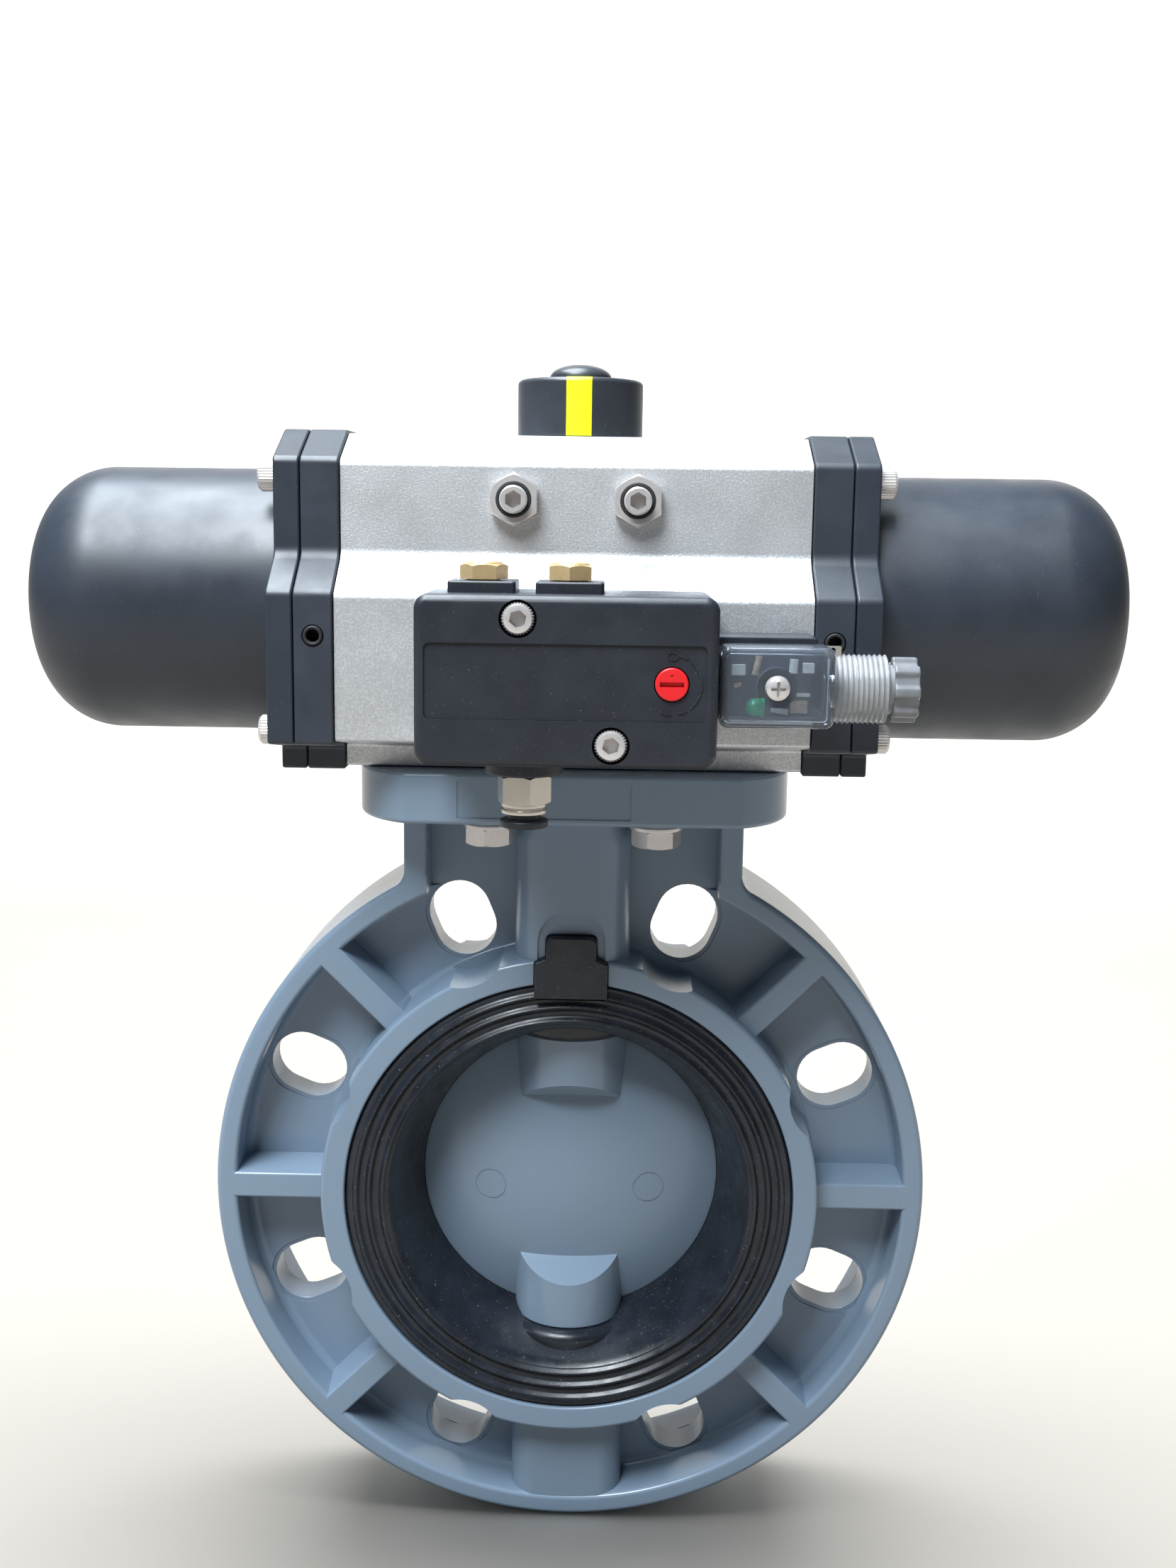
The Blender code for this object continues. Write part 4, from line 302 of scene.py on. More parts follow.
def dressed(piece, slot, *nodes, body=None, look=None):
    """Gives a piece its finish, smooths all but its sharp edges, and says which parts it stands for.
    look names another finish for a small piece that has no slot of its own."""
    piece.data.materials.clear()
    piece.data.materials.append(LOOKS[look or slot])
    piece.data.shade_smooth()
    piece.data.set_sharp_from_angle(angle=SHARP_ANGLE)
    even = piece.modifiers.new("even_shading", "WEIGHTED_NORMAL")
    even.keep_sharp = True
    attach(piece, body or BODY_OF[nodes[0]])
    if nodes:
        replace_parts(piece, *nodes)
    made.append(piece)
    print(piece.name, len(piece.data.vertices), "points, stands for", ", ".join(nodes) or "no part")
    return piece


# %% [markdown]
# ## The camera, the room and the light
#
# The valve stands on a pale sweep of card that curves up far behind it, so no wall edge shows from
# any side. Light comes mostly from a window above, which burns out the faces that look up. A soft
# lamp that is high and to the front lights the faces that look forwards and leaves the neck in the
# actuator's shade. Neither lights the card, so the floor in front throws little light up into that
# shade. Two more lamps light only the card. The sky is pale where it is seen past the card, but it
# lights the valve only weakly.

# %% Camera
CAMERA_PLACE = (0.011574, -0.500975, 0.207075)
CAMERA_TILT = (80.70, -0.803, 1.014)
CAMERA_LENS = 37.44

camera_data = bpy.data.cameras.new("camera")
camera_data.lens = CAMERA_LENS
camera_data.sensor_width = 36.0
camera_data.clip_start = 0.01
camera = bpy.data.objects.new("camera", camera_data)
camera.location = CAMERA_PLACE
camera.rotation_euler = Euler([math.radians(turn) for turn in CAMERA_TILT])
bpy.context.scene.collection.objects.link(camera)
bpy.context.scene.camera = camera
print("camera looks along", np.round(camera.rotation_euler.to_matrix() @ Vector((0, 0, -1)), 3).tolist())

# %% Sweep of card
FLOOR_Z = cad_box[0][2] - 0.3 * MM
FLOOR_REACH = 3.2
SWEEP_START = 2.6
SWEEP_RADIUS = 1.3
SWEEP_TOP = 4.0


def card_sweep():
    """Rows run away from the viewer: flat floor, a quarter circle up, then a plain wall."""
    turn = quarter_turn(25)
    curve_end = SWEEP_START + SWEEP_RADIUS
    away = np.concatenate([[-FLOOR_REACH, 0.0], SWEEP_START + SWEEP_RADIUS * np.sin(turn), [curve_end]])
    up = np.concatenate([[0.0, 0.0], SWEEP_RADIUS * (1 - np.cos(turn)), [SWEEP_TOP]]) + FLOOR_Z
    across = np.linspace(-FLOOR_REACH * 1.6, FLOOR_REACH * 1.6, 9)
    points = placed(across[None, :], away[:, None], up[:, None], "Z")
    index = np.arange(points.shape[0] * points.shape[1]).reshape(points.shape[:2])
    mesh = bpy.data.meshes.new("card_sweep")
    mesh.from_pydata(points.reshape(-1, 3), [], quads(index))
    mesh.shade_smooth()
    sweep = bpy.data.objects.new("card_sweep", mesh)
    bpy.context.scene.collection.objects.link(sweep)
    return sweep


sweep = card_sweep()
print("card sweep has", len(sweep.data.polygons), "faces")


# %% Lamps and sky
def lamp(name, place, target, size, watts, colour):
    """A rectangular lamp at a place, turned towards a target."""
    data = bpy.data.lights.new(name, "AREA")
    data.shape = "RECTANGLE"
    data.size, data.size_y = size
    data.energy = watts
    data.color = colour
    light = bpy.data.objects.new(name, data)
    light.location = place
    light.rotation_euler = (Vector(target) - Vector(place)).to_track_quat("-Z", "Y").to_euler()
    bpy.context.scene.collection.objects.link(light)
    return light


ACTUATOR_MIDDLE = (0.0, 0.0, 0.12)
WALL_MIDDLE = (0.0, 3.9, 1.5)
window_lamp = lamp("window", (-0.30, 0.0, 1.45), ACTUATOR_MIDDLE, (1.2, 0.8), 56.0, (0.84, 0.93, 1.0))
room_lamp = lamp("room", (-0.45, -0.90, 1.45), ACTUATOR_MIDDLE, (0.7, 0.6), 41.0, (0.88, 0.95, 1.0))
floor_lamp = lamp("floor", (0.0, 0.45, 2.4), (0.0, 0.6, 0.0), (3.0, 2.0), 86.0, (1.0, 1.0, 1.0))
wall_lamp = lamp("wall_wash", (0.0, 1.6, 2.3), WALL_MIDDLE, (3.0, 1.2), 110.0, (1.0, 1.0, 1.0))


def lights_card(lights, link_state):
    """Says whether these lamps light everything but the card, or nothing but the card."""
    group = bpy.data.collections.new("card_" + link_state.lower())
    group.objects.link(sweep)
    group.collection_objects[0].light_linking.link_state = link_state
    for light in lights:
        light.light_linking.receiver_collection = group


lights_card([window_lamp, room_lamp], "EXCLUDE")
lights_card([floor_lamp, wall_lamp], "INCLUDE")
world = bpy.data.worlds.new("pale_sky")
world.use_nodes = True
SKY_LIGHT, SKY_SEEN = 0.10, 0.90
sky = world.node_tree.nodes["Background"]
sky.inputs["Color"].default_value = (0.92, 0.96, 1.0, 1.0)
seen = world.node_tree.nodes.new("ShaderNodeLightPath")
strength = world.node_tree.nodes.new("ShaderNodeMath")
strength.operation = "MULTIPLY_ADD"
strength.inputs[1].default_value = SKY_SEEN - SKY_LIGHT
strength.inputs[2].default_value = SKY_LIGHT
world.node_tree.links.new(seen.outputs["Is Camera Ray"], strength.inputs[0])
world.node_tree.links.new(strength.outputs[0], sky.inputs["Strength"])
bpy.context.scene.world = world
bpy.context.scene.view_settings.view_transform = "Standard"
print("four lamps, and a sky that lights with", SKY_LIGHT, "and is seen with", SKY_SEEN)

# %% [markdown]
# ## The finishes
#
# Each finish is a small node tree on the piece's own coordinates: a slow cloud that shifts the colour
# and the gloss, and a fine grain that lifts the surface. Moulded plastic, blasted aluminium and
# turned metal differ in the size and height of that grain more than in their colour, so one function
# makes them all from plain numbers, and the few special ones add their own nodes.

# %% Nodes for a finish
LOOKS = {}


def noise_of(tree, size, detail=3.0, stretch=(1.0, 1.0, 1.0)):
    """A noise pattern whose lumps are about the given size in metres, on the piece's own coordinates."""
    place = tree.nodes.new("ShaderNodeTexCoord")
    turn = tree.nodes.new("ShaderNodeMapping")
    turn.inputs["Scale"].default_value = stretch
    noise = tree.nodes.new("ShaderNodeTexNoise")
    noise.inputs["Scale"].default_value = 1 / size
    noise.inputs["Detail"].default_value = detail
    tree.links.new(place.outputs["Object"], turn.inputs["Vector"])
    tree.links.new(turn.outputs["Vector"], noise.inputs["Vector"])
    return noise.outputs["Fac"]


def ranged(tree, value, low, high, start=0.3, end=0.7):
    """The value stretched so that start gives low and end gives high."""
    node = tree.nodes.new("ShaderNodeMapRange")
    node.inputs["From Min"].default_value = start
    node.inputs["From Max"].default_value = end
    node.inputs["To Min"].default_value = low
    node.inputs["To Max"].default_value = high
    tree.links.new(value, node.inputs["Value"])
    return node.outputs["Result"]


def mixed(tree, share, first, second):
    """A colour between two colours or colour outputs, by a share from 0 to 1."""
    node = tree.nodes.new("ShaderNodeMix")
    node.data_type = "RGBA"
    tree.links.new(share, node.inputs["Factor"])
    for socket, colour in ((node.inputs[6], first), (node.inputs[7], second)):
        if isinstance(colour, tuple):
            socket.default_value = (*colour, 1.0)
        else:
            tree.links.new(colour, socket)
    return node.outputs[2]


def finish(name, colour, roughness, metallic=0.0, cloud=(12 * MM, 0.08), spread=0.06,
           grain=(0.5 * MM, 0.01 * MM),
           dust=0.0, fleck=0.0, stretch=(1.0, 1.0, 1.0), sockets=None):
    """One procedural finish. cloud is the size and share of the slow colour change, spread the change
    in gloss, grain the size and height of the surface's lumps, dust the share of pale specks, fleck the
    share by which the grain also changes the colour."""
    material = bpy.data.materials.new(name)
    material.use_nodes = True
    tree = material.node_tree
    shader = tree.nodes["Principled BSDF"]
    shader.inputs["Metallic"].default_value = metallic
    for socket, value in (sockets or {}).items():
        shader.inputs[socket].default_value = value
    colour = np.array(colour)
    size, share = cloud
    slow = ranged(tree, noise_of(tree, size), 0.0, 1.0)
    paint = mixed(tree, slow, tuple(colour * (1 - share)), tuple(np.minimum(colour * (1 + share), 1.0)))
    lumps = noise_of(tree, grain[0], 2.0, stretch)
    if fleck:
        bright = tuple(np.minimum(colour * (1 + fleck), 1.0))
        paint = mixed(tree, ranged(tree, lumps, 0.0, 1.0, 0.45, 0.75), paint, bright)
    if dust:
        specks = ranged(tree, noise_of(tree, 0.7 * MM, 1.0), 0.0, dust, 0.70, 0.78)
        paint = mixed(tree, specks, paint, (0.55, 0.53, 0.48))
    tree.links.new(paint, shader.inputs["Base Color"])
    gloss = ranged(tree, noise_of(tree, size * 0.6, 4.0), roughness - spread, roughness + spread)
    tree.links.new(gloss, shader.inputs["Roughness"])
    bump = tree.nodes.new("ShaderNodeBump")
    bump.inputs["Distance"].default_value = grain[1]
    tree.links.new(lumps, bump.inputs["Height"])
    tree.links.new(bump.outputs["Normal"], shader.inputs["Normal"])
    LOOKS[name] = material
    return material


# %% Plastics and rubbers
finish("body_plastic", (0.190, 0.255, 0.335), 0.26, cloud=(60 * MM, 0.025), spread=0.015,
       grain=(0.9 * MM, 0.004 * MM))
finish("liner_rubber", (0.011, 0.014, 0.021), 0.34, cloud=(9 * MM, 0.35), spread=0.10,
       grain=(0.6 * MM, 0.015 * MM), dust=0.25)
finish("cap_plastic", (0.027, 0.033, 0.045), 0.46, cloud=(14 * MM, 0.15), grain=(0.35 * MM, 0.030 * MM))
finish("can_coating", (0.024, 0.030, 0.042), 0.42, cloud=(22 * MM, 0.14), spread=0.07,
       grain=(0.5 * MM, 0.006 * MM), dust=0.06)
finish("indicator_plastic", (0.030, 0.034, 0.042), 0.36, grain=(0.6 * MM, 0.006 * MM), dust=0.08)
finish("indicator_yellow", (0.80, 0.83, 0.01), 0.42, cloud=(8 * MM, 0.04), grain=(0.8 * MM, 0.006 * MM))
finish("solenoid_plastic", (0.017, 0.020, 0.028), 0.42, cloud=(12 * MM, 0.15),
       grain=(0.25 * MM, 0.022 * MM), dust=0.12)
finish("override_red", (0.72, 0.015, 0.02), 0.34, cloud=(3 * MM, 0.05), grain=(0.5 * MM, 0.006 * MM))
finish("seal_rubber", (0.014, 0.014, 0.015), 0.60, cloud=(4 * MM, 0.2))
finish("bush_plastic", (0.60, 0.56, 0.45), 0.45, cloud=(6 * MM, 0.05))
finish("board_green", (0.045, 0.055, 0.062), 0.50, cloud=(3 * MM, 0.2))
print(len(LOOKS), "plastic and rubber finishes")

# %% Metals
finish("anodised_aluminium", (0.60, 0.605, 0.62), 0.46, 0.75, cloud=(30 * MM, 0.03), spread=0.04,
       grain=(0.55 * MM, 0.080 * MM), fleck=0.35)
finish("stainless", (0.72, 0.68, 0.67), 0.24, 0.55, cloud=(2 * MM, 0.04), spread=0.03,
       grain=(0.5 * MM, 0.001 * MM))
finish("cast_piston", (0.55, 0.56, 0.57), 0.45, 0.9, grain=(0.6 * MM, 0.02 * MM))
finish("spring_steel", (0.30, 0.31, 0.33), 0.34, 1.0, grain=(0.8 * MM, 0.01 * MM))
finish("pinion_steel", (0.48, 0.48, 0.50), 0.30, 1.0, grain=(0.4 * MM, 0.008 * MM))
finish("silencer_brass", (0.74, 0.53, 0.28), 0.26, 0.55, cloud=(2 * MM, 0.06), spread=0.03,
       grain=(0.4 * MM, 0.002 * MM))
finish("fitting_nickel", (0.68, 0.63, 0.56), 0.20, 0.70, cloud=(3 * MM, 0.04), spread=0.03,
       grain=(0.5 * MM, 0.001 * MM))
print(len(LOOKS), "finishes with the metals")

# %% Clear plastics
# Light goes through these. The absorption is kept in the colour, because the walls are thin.
finish("clear_plastic", (0.66, 0.72, 0.82), 0.06, cloud=(8 * MM, 0.06), spread=0.03,
       grain=(3 * MM, 0.010 * MM),
       sockets={"Transmission Weight": 0.94, "IOR": 1.45})
finish("gland_plastic", (0.50, 0.51, 0.52), 0.20, cloud=(4 * MM, 0.10), spread=0.05,
       grain=(0.8 * MM, 0.010 * MM),
       sockets={"Transmission Weight": 0.55, "IOR": 1.45})
finish("lamp_green", (0.0, 0.42, 0.16), 0.20, cloud=(2 * MM, 0.2))
finish("resistor_tan", (0.50, 0.36, 0.22), 0.40, cloud=(2 * MM, 0.3))
finish("chip_white", (0.74, 0.70, 0.60), 0.45, cloud=(2 * MM, 0.1))
finish("nut_smoke", (0.30, 0.31, 0.33), 0.16, cloud=(4 * MM, 0.10), spread=0.05,
       grain=(0.8 * MM, 0.006 * MM),
       sockets={"Transmission Weight": 0.45, "IOR": 1.45})
finish("card", (0.86, 0.84, 0.79), 0.75, cloud=(400 * MM, 0.02), grain=(1.5 * MM, 0.02 * MM))
sweep.data.materials.append(LOOKS["card"])
print(len(LOOKS), "finishes in all")

# %% [markdown]
# ## The valve body
#
# On the real valve this is one moulding: a hub ring round the liner, an outer rim, a thin web with
# eight bolt slots between them, six spokes, and a neck that carries the actuator's plate. It could be
# drawn as a height map, but its walls are upright, which a height map does badly. So the ring is a
# turned profile whose inner and outer corners are already rounded, and the straight parts are moulded
# outlines joined to it.

# %% Sizes of the body
HUB_BORE, HUB_RECESS, HUB_OUTER = 60.3 * MM, 68.9 * MM, 76.4 * MM
RIM_INNER, RIM_OUTER = 103.6 * MM, span("valve_body")[1, 0]
HUB_Y, HUB_SHOULDER_Y, RIM_Y, WEB_Y = 28.0 * MM, 20.7 * MM, 21.0 * MM, 6.0 * MM
PLATE_TOP = span("valve_body")[1, 2]
PLATE_LOW = PLATE_TOP - 14.9 * MM
NECK_IN, NECK_OUT = 44.1 * MM, 51.1 * MM
SPOKES = np.radians([0, 45, 135, 180, 225, 315])
SLOTS = np.radians(22.5 + 45 * np.arange(8))
SLOT_HALF = 9.5 * MM
SLOT_IN, SLOT_OUT = 87.5 * MM, 92.5 * MM
print("rim radius", round(RIM_OUTER / MM, 1), "plate top", round(PLATE_TOP / MM, 1))


# %% Hub, web and rim as one turned profile
def front_and_back(half):
    """A half profile of (radius, y) at negative y, closed with its mirror image at positive y."""
    half = np.asarray(half, dtype=float)
    return np.vstack([half, half[::-1] * [1, -1]])


wheel_corners = front_and_back([
    (HUB_BORE, -HUB_SHOULDER_Y), (HUB_RECESS, -HUB_SHOULDER_Y), (HUB_RECESS, -HUB_Y), (HUB_OUTER, -HUB_Y),
    (HUB_OUTER, -WEB_Y), (RIM_INNER, -WEB_Y), (RIM_INNER, -RIM_Y), (RIM_OUTER, -RIM_Y),
])
wheel_radii = np.array([0.4, 0.4, 0.7, 1.2, 2.2, 2.6, 1.3, 1.8]) * MM
wheel_profile = softened(wheel_corners, np.append(wheel_radii, wheel_radii[::-1]), 4)
body = turned("valve_body_moulding", wheel_profile, "Y", sides=256)
print("wheel has", len(body.data.polygons), "faces")


# %% Neck walls, column and bottom boss
def column_outline(face, depth, half=17.7 * MM, shoulder=12.0 * MM):
    """Flat faces front and back, and quarter ellipses from their edges to the flat sides."""
    turn = quarter_turn(13)
    across = face + (half - face) * np.sin(turn)
    return both_sides(front_and_back(paired(across, shoulder + (depth - shoulder) * np.cos(turn))))


def neck_side(side):
    """A neck wall as seen from the front, with the hollow curve of radius f where it runs into the rim. The
    curve's centre is f outside the wall and at a distance of rim radius + f from the bore."""
    f = 6.0 * MM
    centre = np.array([NECK_OUT + f, math.sqrt((RIM_OUTER + f) ** 2 - (NECK_OUT + f) ** 2)])
    end = math.atan2(-centre[1], -centre[0]) % (2 * math.pi)
    turn = np.linspace(math.pi, end, 10)
    hollow = paired(centre[0] + f * np.cos(turn), centre[1] + f * np.sin(turn))
    inner_foot = [(NECK_OUT - 0.5 * MM, 90.5 * MM), (NECK_IN, 94.5 * MM)]
    outline = np.vstack([[(NECK_IN, PLATE_LOW + 1 * MM), (NECK_OUT, PLATE_LOW + 1 * MM)], hollow,
                         inner_foot])
    return moulded("neck_side", outline * [side, 1], -RIM_Y, RIM_Y, "Y", (1.2 * MM, 1.2 * MM))


LINER_FACE_MIDDLE = (HUB_RECESS + HUB_OUTER) / 2
WEB_FOOT = 93 * MM
column = moulded("column", column_outline(7.4 * MM, 27.6 * MM), LINER_FACE_MIDDLE, PLATE_LOW + 1 * MM, "Z")
boss = moulded("boss", column_outline(10.0 * MM, 20.5 * MM), -RIM_INNER - 2 * MM, -LINER_FACE_MIDDLE, "Z")
web_outline = box_outline(-NECK_IN - MM, NECK_IN + MM, WEB_FOOT, PLATE_LOW + MM, 0.1 * MM)
neck_web = moulded("neck_web", web_outline, -WEB_Y, WEB_Y, "Y")
print("column", np.round(np.array(column.dimensions) / MM, 1).tolist())


# %% Top plate
def plate_outline():
    """Seen from above: a flat front, a crease, then an elliptical corner round to each narrow end."""
    start = math.radians(18)
    turn = np.linspace(start, math.pi / 2, 16)
    reach = (np.sin(turn) - math.sin(start)) / (1 - math.sin(start))
    depth = np.cos(turn) / math.cos(start)
    return both_sides(front_and_back(paired((47.5 + 16.5 * reach) * MM, (15 + 27 * depth) * MM)))


plate = moulded("plate", plate_outline(), PLATE_LOW, PLATE_TOP, "Z", (1.4 * MM, 1.0 * MM))
print("plate", np.round(np.array(plate.dimensions) / MM, 1).tolist())


# %% Spokes
def spoke(angle):
    """A rib along a radius: its section is 8 mm wide at both faces and 2.8 mm wider in the middle."""
    half, root, deep = 4.0 * MM, 5.4 * MM, RIM_Y
    corners = [(half, deep), (root, 0), (half, -deep), (-half, -deep), (-root, 0), (-half, deep)]
    t, y = softened(corners, np.array([0.8, 0.2, 0.8, 0.8, 0.2, 0.8]) * MM, 4).T[:, None, :]
    r = np.array([LINER_FACE_MIDDLE, RIM_INNER + 3 * MM])[:, None]
    x = r * math.cos(angle) - t * math.sin(angle)
    z = r * math.sin(angle) + t * math.cos(angle)
    return skin("spoke", placed(x, z, np.broadcast_to(y, x.shape), "Y"))


def neck_window(low_y, high_y):
    """The rim is open between the neck's walls, in front of and behind the web."""
    outline = box_outline(-NECK_IN, NECK_IN, 93.6 * MM, RIM_OUTER + MM, 0.1 * MM)
    return moulded("neck_window", outline, low_y, high_y, "Y")


carved(body, neck_window(-RIM_Y - MM, -WEB_Y), neck_window(WEB_Y, RIM_Y + MM))
fused(body, neck_web, plate, column, boss, neck_side(1), neck_side(-1), *[spoke(angle) for angle in SPOKES])
print("body after joining:", len(body.data.polygons), "faces")


# %% Bolt slots, scallops and holes
def slot_cutter(angle, grow, low_y, high_y, flare=0.0):
    """A round-ended slot along a radius. flare is how far its mouth opens at each end."""
    turn = np.linspace(-math.pi / 2, math.pi / 2, 17)
    half = SLOT_HALF + grow
    outer = paired(SLOT_OUT + half * np.cos(turn), half * np.sin(turn))
    inner = paired(SLOT_IN - half * np.cos(turn), -half * np.sin(turn))
    turned_by = np.array([[math.cos(angle), math.sin(angle)], [-math.sin(angle), math.cos(angle)]])
    outline = np.vstack([outer, inner]) @ turned_by
    y = np.array([low_y, low_y + flare, high_y - flare, high_y])
    widen = np.array([-flare, 0, 0, -flare])
    rings = [placed(*moved_in(outline, inset).T, depth, "Y") for inset, depth in zip(widen, y)]
    return skin("slot", np.array(rings))


def scallop(angle, side):
    """The bite that a bolt's washer needs out of the hub ring."""
    radius = 14.1 * MM
    reach = HUB_OUTER - 3.0 * MM + radius
    low, high = sorted((side * (WEB_Y + 0.5 * MM), side * (HUB_Y + MM)))
    return rod(radius, low, high, "Y", (reach * math.cos(angle), reach * math.sin(angle)), 72)


STEP_DEPTH = 0.4 * MM
cutters = [slot_cutter(angle, 0, -WEB_Y - 0.3 * MM, WEB_Y + 0.3 * MM, 0.8 * MM) for angle in SLOTS]
for side in (-1, 1):
    ends = sorted((side * (WEB_Y - STEP_DEPTH), side * (WEB_Y + 0.3 * MM)))
    cutters += [slot_cutter(angle, 1.3 * MM, *ends) for angle in SLOTS]
    cutters += [scallop(angle, side) for angle in SLOTS]
carved(body, *cutters)
print("body after slots:", len(body.data.polygons), "faces")

# %% Bores, bolt holes and the seat of the liner's tab
BOLT_OFFSET, BOLT_HOLE = 24.75 * MM, 4.5 * MM
UPPER_BORE, LOWER_BORE, ARCH_RADIUS = 10.6 * MM, 7.9 * MM, 10.2 * MM
BOLT_PLACES = [(x * BOLT_OFFSET, y * BOLT_OFFSET) for x in (-1, 1) for y in (-1, 1)]


def tab_outline(grow):
    """Front view of the liner's tab: a wide foot inside the hub ring and a round-cornered tongue above
    it."""
    side, foot, top = 7.6 * MM + grow, 11.0 * MM + grow, HUB_OUTER + 7.0 * MM + grow
    half = [(side, top), (side, HUB_OUTER + 0.4 * MM), (foot, HUB_OUTER - 1.1 * MM), (foot, 64 * MM)]
    radii = np.array([2.0, 0.6, 0.8, 0.2]) * MM
    return softened(both_sides(half), np.append(radii, radii[::-1]))


carved(
    body,
    rod(UPPER_BORE, 55 * MM, PLATE_TOP + MM, "Z"),
    rod(LOWER_BORE, -79.2 * MM, -55 * MM, "Z"),
    *[rod(BOLT_HOLE, PLATE_LOW - MM, PLATE_TOP + MM, "Z", place, 32) for place in BOLT_PLACES],
    moulded("tab_seat", tab_outline(0.3 * MM), -HUB_Y - 3 * MM, -24.2 * MM, "Y"),
)
arch_foot = [(-ARCH_RADIUS, 70 * MM), (ARCH_RADIUS, 70 * MM)]
arch = np.vstack([circle(ARCH_RADIUS, (0, 81.3 * MM), 48)[:25], arch_foot])
carved(body, moulded("arch", arch, -HUB_Y - MM, -26.4 * MM, "Y"))
label = box_outline(-33 * MM, 17 * MM, PLATE_LOW + 2 * MM, PLATE_TOP - 2 * MM, 0.5 * MM)
carved(body, moulded("label", label, -43 * MM, -41.7 * MM, "Y"))
dressed(body, "body_plastic", "valve_body")

# %% [markdown]
# ## The rubber liner
#
# The liner lines the bore and folds out over the hub ring, where three round ribs are squeezed by the pipe
# flange. A turned profile gives all of it, and the ribs are a sum of bell curves, exp(-((r - c) / w)^2), so
# their number, place and width are three plain values. Two round pads meet the disc's bosses.

# %% Liner profile with its ribs
SEAT_RADIUS, SEAT_LAND = 46.92 * MM, 3.0 * MM
LINER_FACE_Y = 28.6 * MM
LINER_OUTER, LINER_BODY = 68.6 * MM, 60.0 * MM
RIB_RADII = np.array([57.2, 61.4, 65.4]) * MM
RIB_HEIGHT, RIB_WIDTH = 1.3 * MM, 0.95 * MM


def liner_profile():
    """Radius and y of the front half: a cone that widens from the seat with t^1.15, then the ribbed
    face."""
    t = np.linspace(0, 1, 16)
    cone_r = SEAT_RADIUS + 7.7 * MM * t ** 1.15
    cone_y = -(SEAT_LAND + (LINER_FACE_Y - 2.4 * MM - SEAT_LAND) * t)
    face_r = np.linspace(55.6 * MM, LINER_OUTER - 0.6 * MM, 90)
    ribs = np.exp(-((face_r[:, None] - RIB_RADII) / RIB_WIDTH) ** 2).sum(axis=1)
    face_y = -(LINER_FACE_Y - RIB_HEIGHT + RIB_HEIGHT * np.minimum(ribs, 1.0))
    back = [(LINER_OUTER, -LINER_FACE_Y + 2.0 * MM), (LINER_OUTER, -21 * MM), (LINER_BODY, -21 * MM)]
    return np.vstack([paired(cone_r, cone_y), paired(face_r, face_y), back])


liner = turned("liner_moulding", front_and_back(liner_profile()), "Y", sides=200)
tab_front = -(HUB_Y + 2.0 * MM)
tab = moulded("tab", tab_outline(0), tab_front, tab_front + 5.5 * MM, "Y", (0.6 * MM, 0.0))
PAD_RADIUS, PAD_START, PAD_END, PAD_EDGE = 21.6 * MM, 47.7 * MM, 56.5 * MM, 3.0 * MM
PAD_HOLE, STEM_HOLE, TRUNNION_HOLE, LINER_HOLE_END = 18.0 * MM, 8.3 * MM, 5.6 * MM, 61 * MM
pad_outline = circle(PAD_RADIUS, sides=96)
pads = [
    moulded("upper_pad", pad_outline, PAD_START, PAD_END, "Z", (PAD_EDGE, 0.0), 8),
    moulded("lower_pad", pad_outline, -PAD_END, -PAD_START, "Z", (0.0, PAD_EDGE), 8),
]
fused(liner, tab, *pads)
carved(
    liner,
    rod(PAD_HOLE, -PAD_START, PAD_START, "Z", sides=96),
    rod(STEM_HOLE, 0, LINER_HOLE_END, "Z"),
    rod(TRUNNION_HOLE, -LINER_HOLE_END, 0, "Z"),
)
dressed(liner, "liner_rubber", "seat_liner")

# %% [markdown]
# ## The disc
#
# The disc is a shallow lens, thick in the middle and thin where it meets the seat. A round boss at
# the top and the bottom holds the stem, and each boss ends in a slanted half-moon. Two faint rings
# are left by the pins that push the moulding out of its tool. The lens is y = edge + rise (1 - (r /
# R)^2), and the ring cutters use the same formula, so that they bite equally deep all round.

# %% Lens and bosses
DISC_RADIUS, DISC_EDGE, DISC_RISE = 46.9 * MM, 3.0 * MM, 9.0 * MM
BOSS_RADIUS, BOSS_START, BOSS_SHOULDER, BOSS_END = 17.6 * MM, 27 * MM, 33 * MM, 47.3 * MM


def lens_depth(r):
    """How far the disc's face stands from its middle plane at a distance r from the centre."""
    return DISC_EDGE + DISC_RISE * (1 - (r / DISC_RADIUS) ** 2)


def lens_profile():
    """Radius and y: the lens formula at radii R sin t, so the points crowd towards the thin edge."""
    r = DISC_RADIUS * np.sin(quarter_turn(30))
    r[-1] = DISC_RADIUS - 0.6 * MM
    face = paired(r, -lens_depth(r))
    edge = np.array([(DISC_RADIUS, -1.6 * MM), (DISC_RADIUS, 1.6 * MM)])
    return np.vstack([face, edge, face[::-1] * [1, -1]])


def disc_boss(side):
    """A cylinder along the stem, cut off by a slope from its shoulder at the surface to its start
    inside."""
    ends = sorted((side * 20 * MM, side * BOSS_END))
    barrel = moulded("barrel", circle(BOSS_RADIUS, sides=96), *ends, "Z")
    inner = BOSS_START - (BOSS_SHOULDER - BOSS_START) * DISC_RISE / (BOSS_RADIUS - DISC_RISE)
    wide, shoulder, top = BOSS_RADIUS + MM, side * (BOSS_SHOULDER + 0.7 * MM), side * 50 * MM
    flank = [(wide, shoulder), (0, side * inner), (-wide, shoulder), (-wide, top), (wide, top)]
    return trimmed(barrel, moulded("flank", np.array(flank), -20 * MM, 20 * MM, "X"))


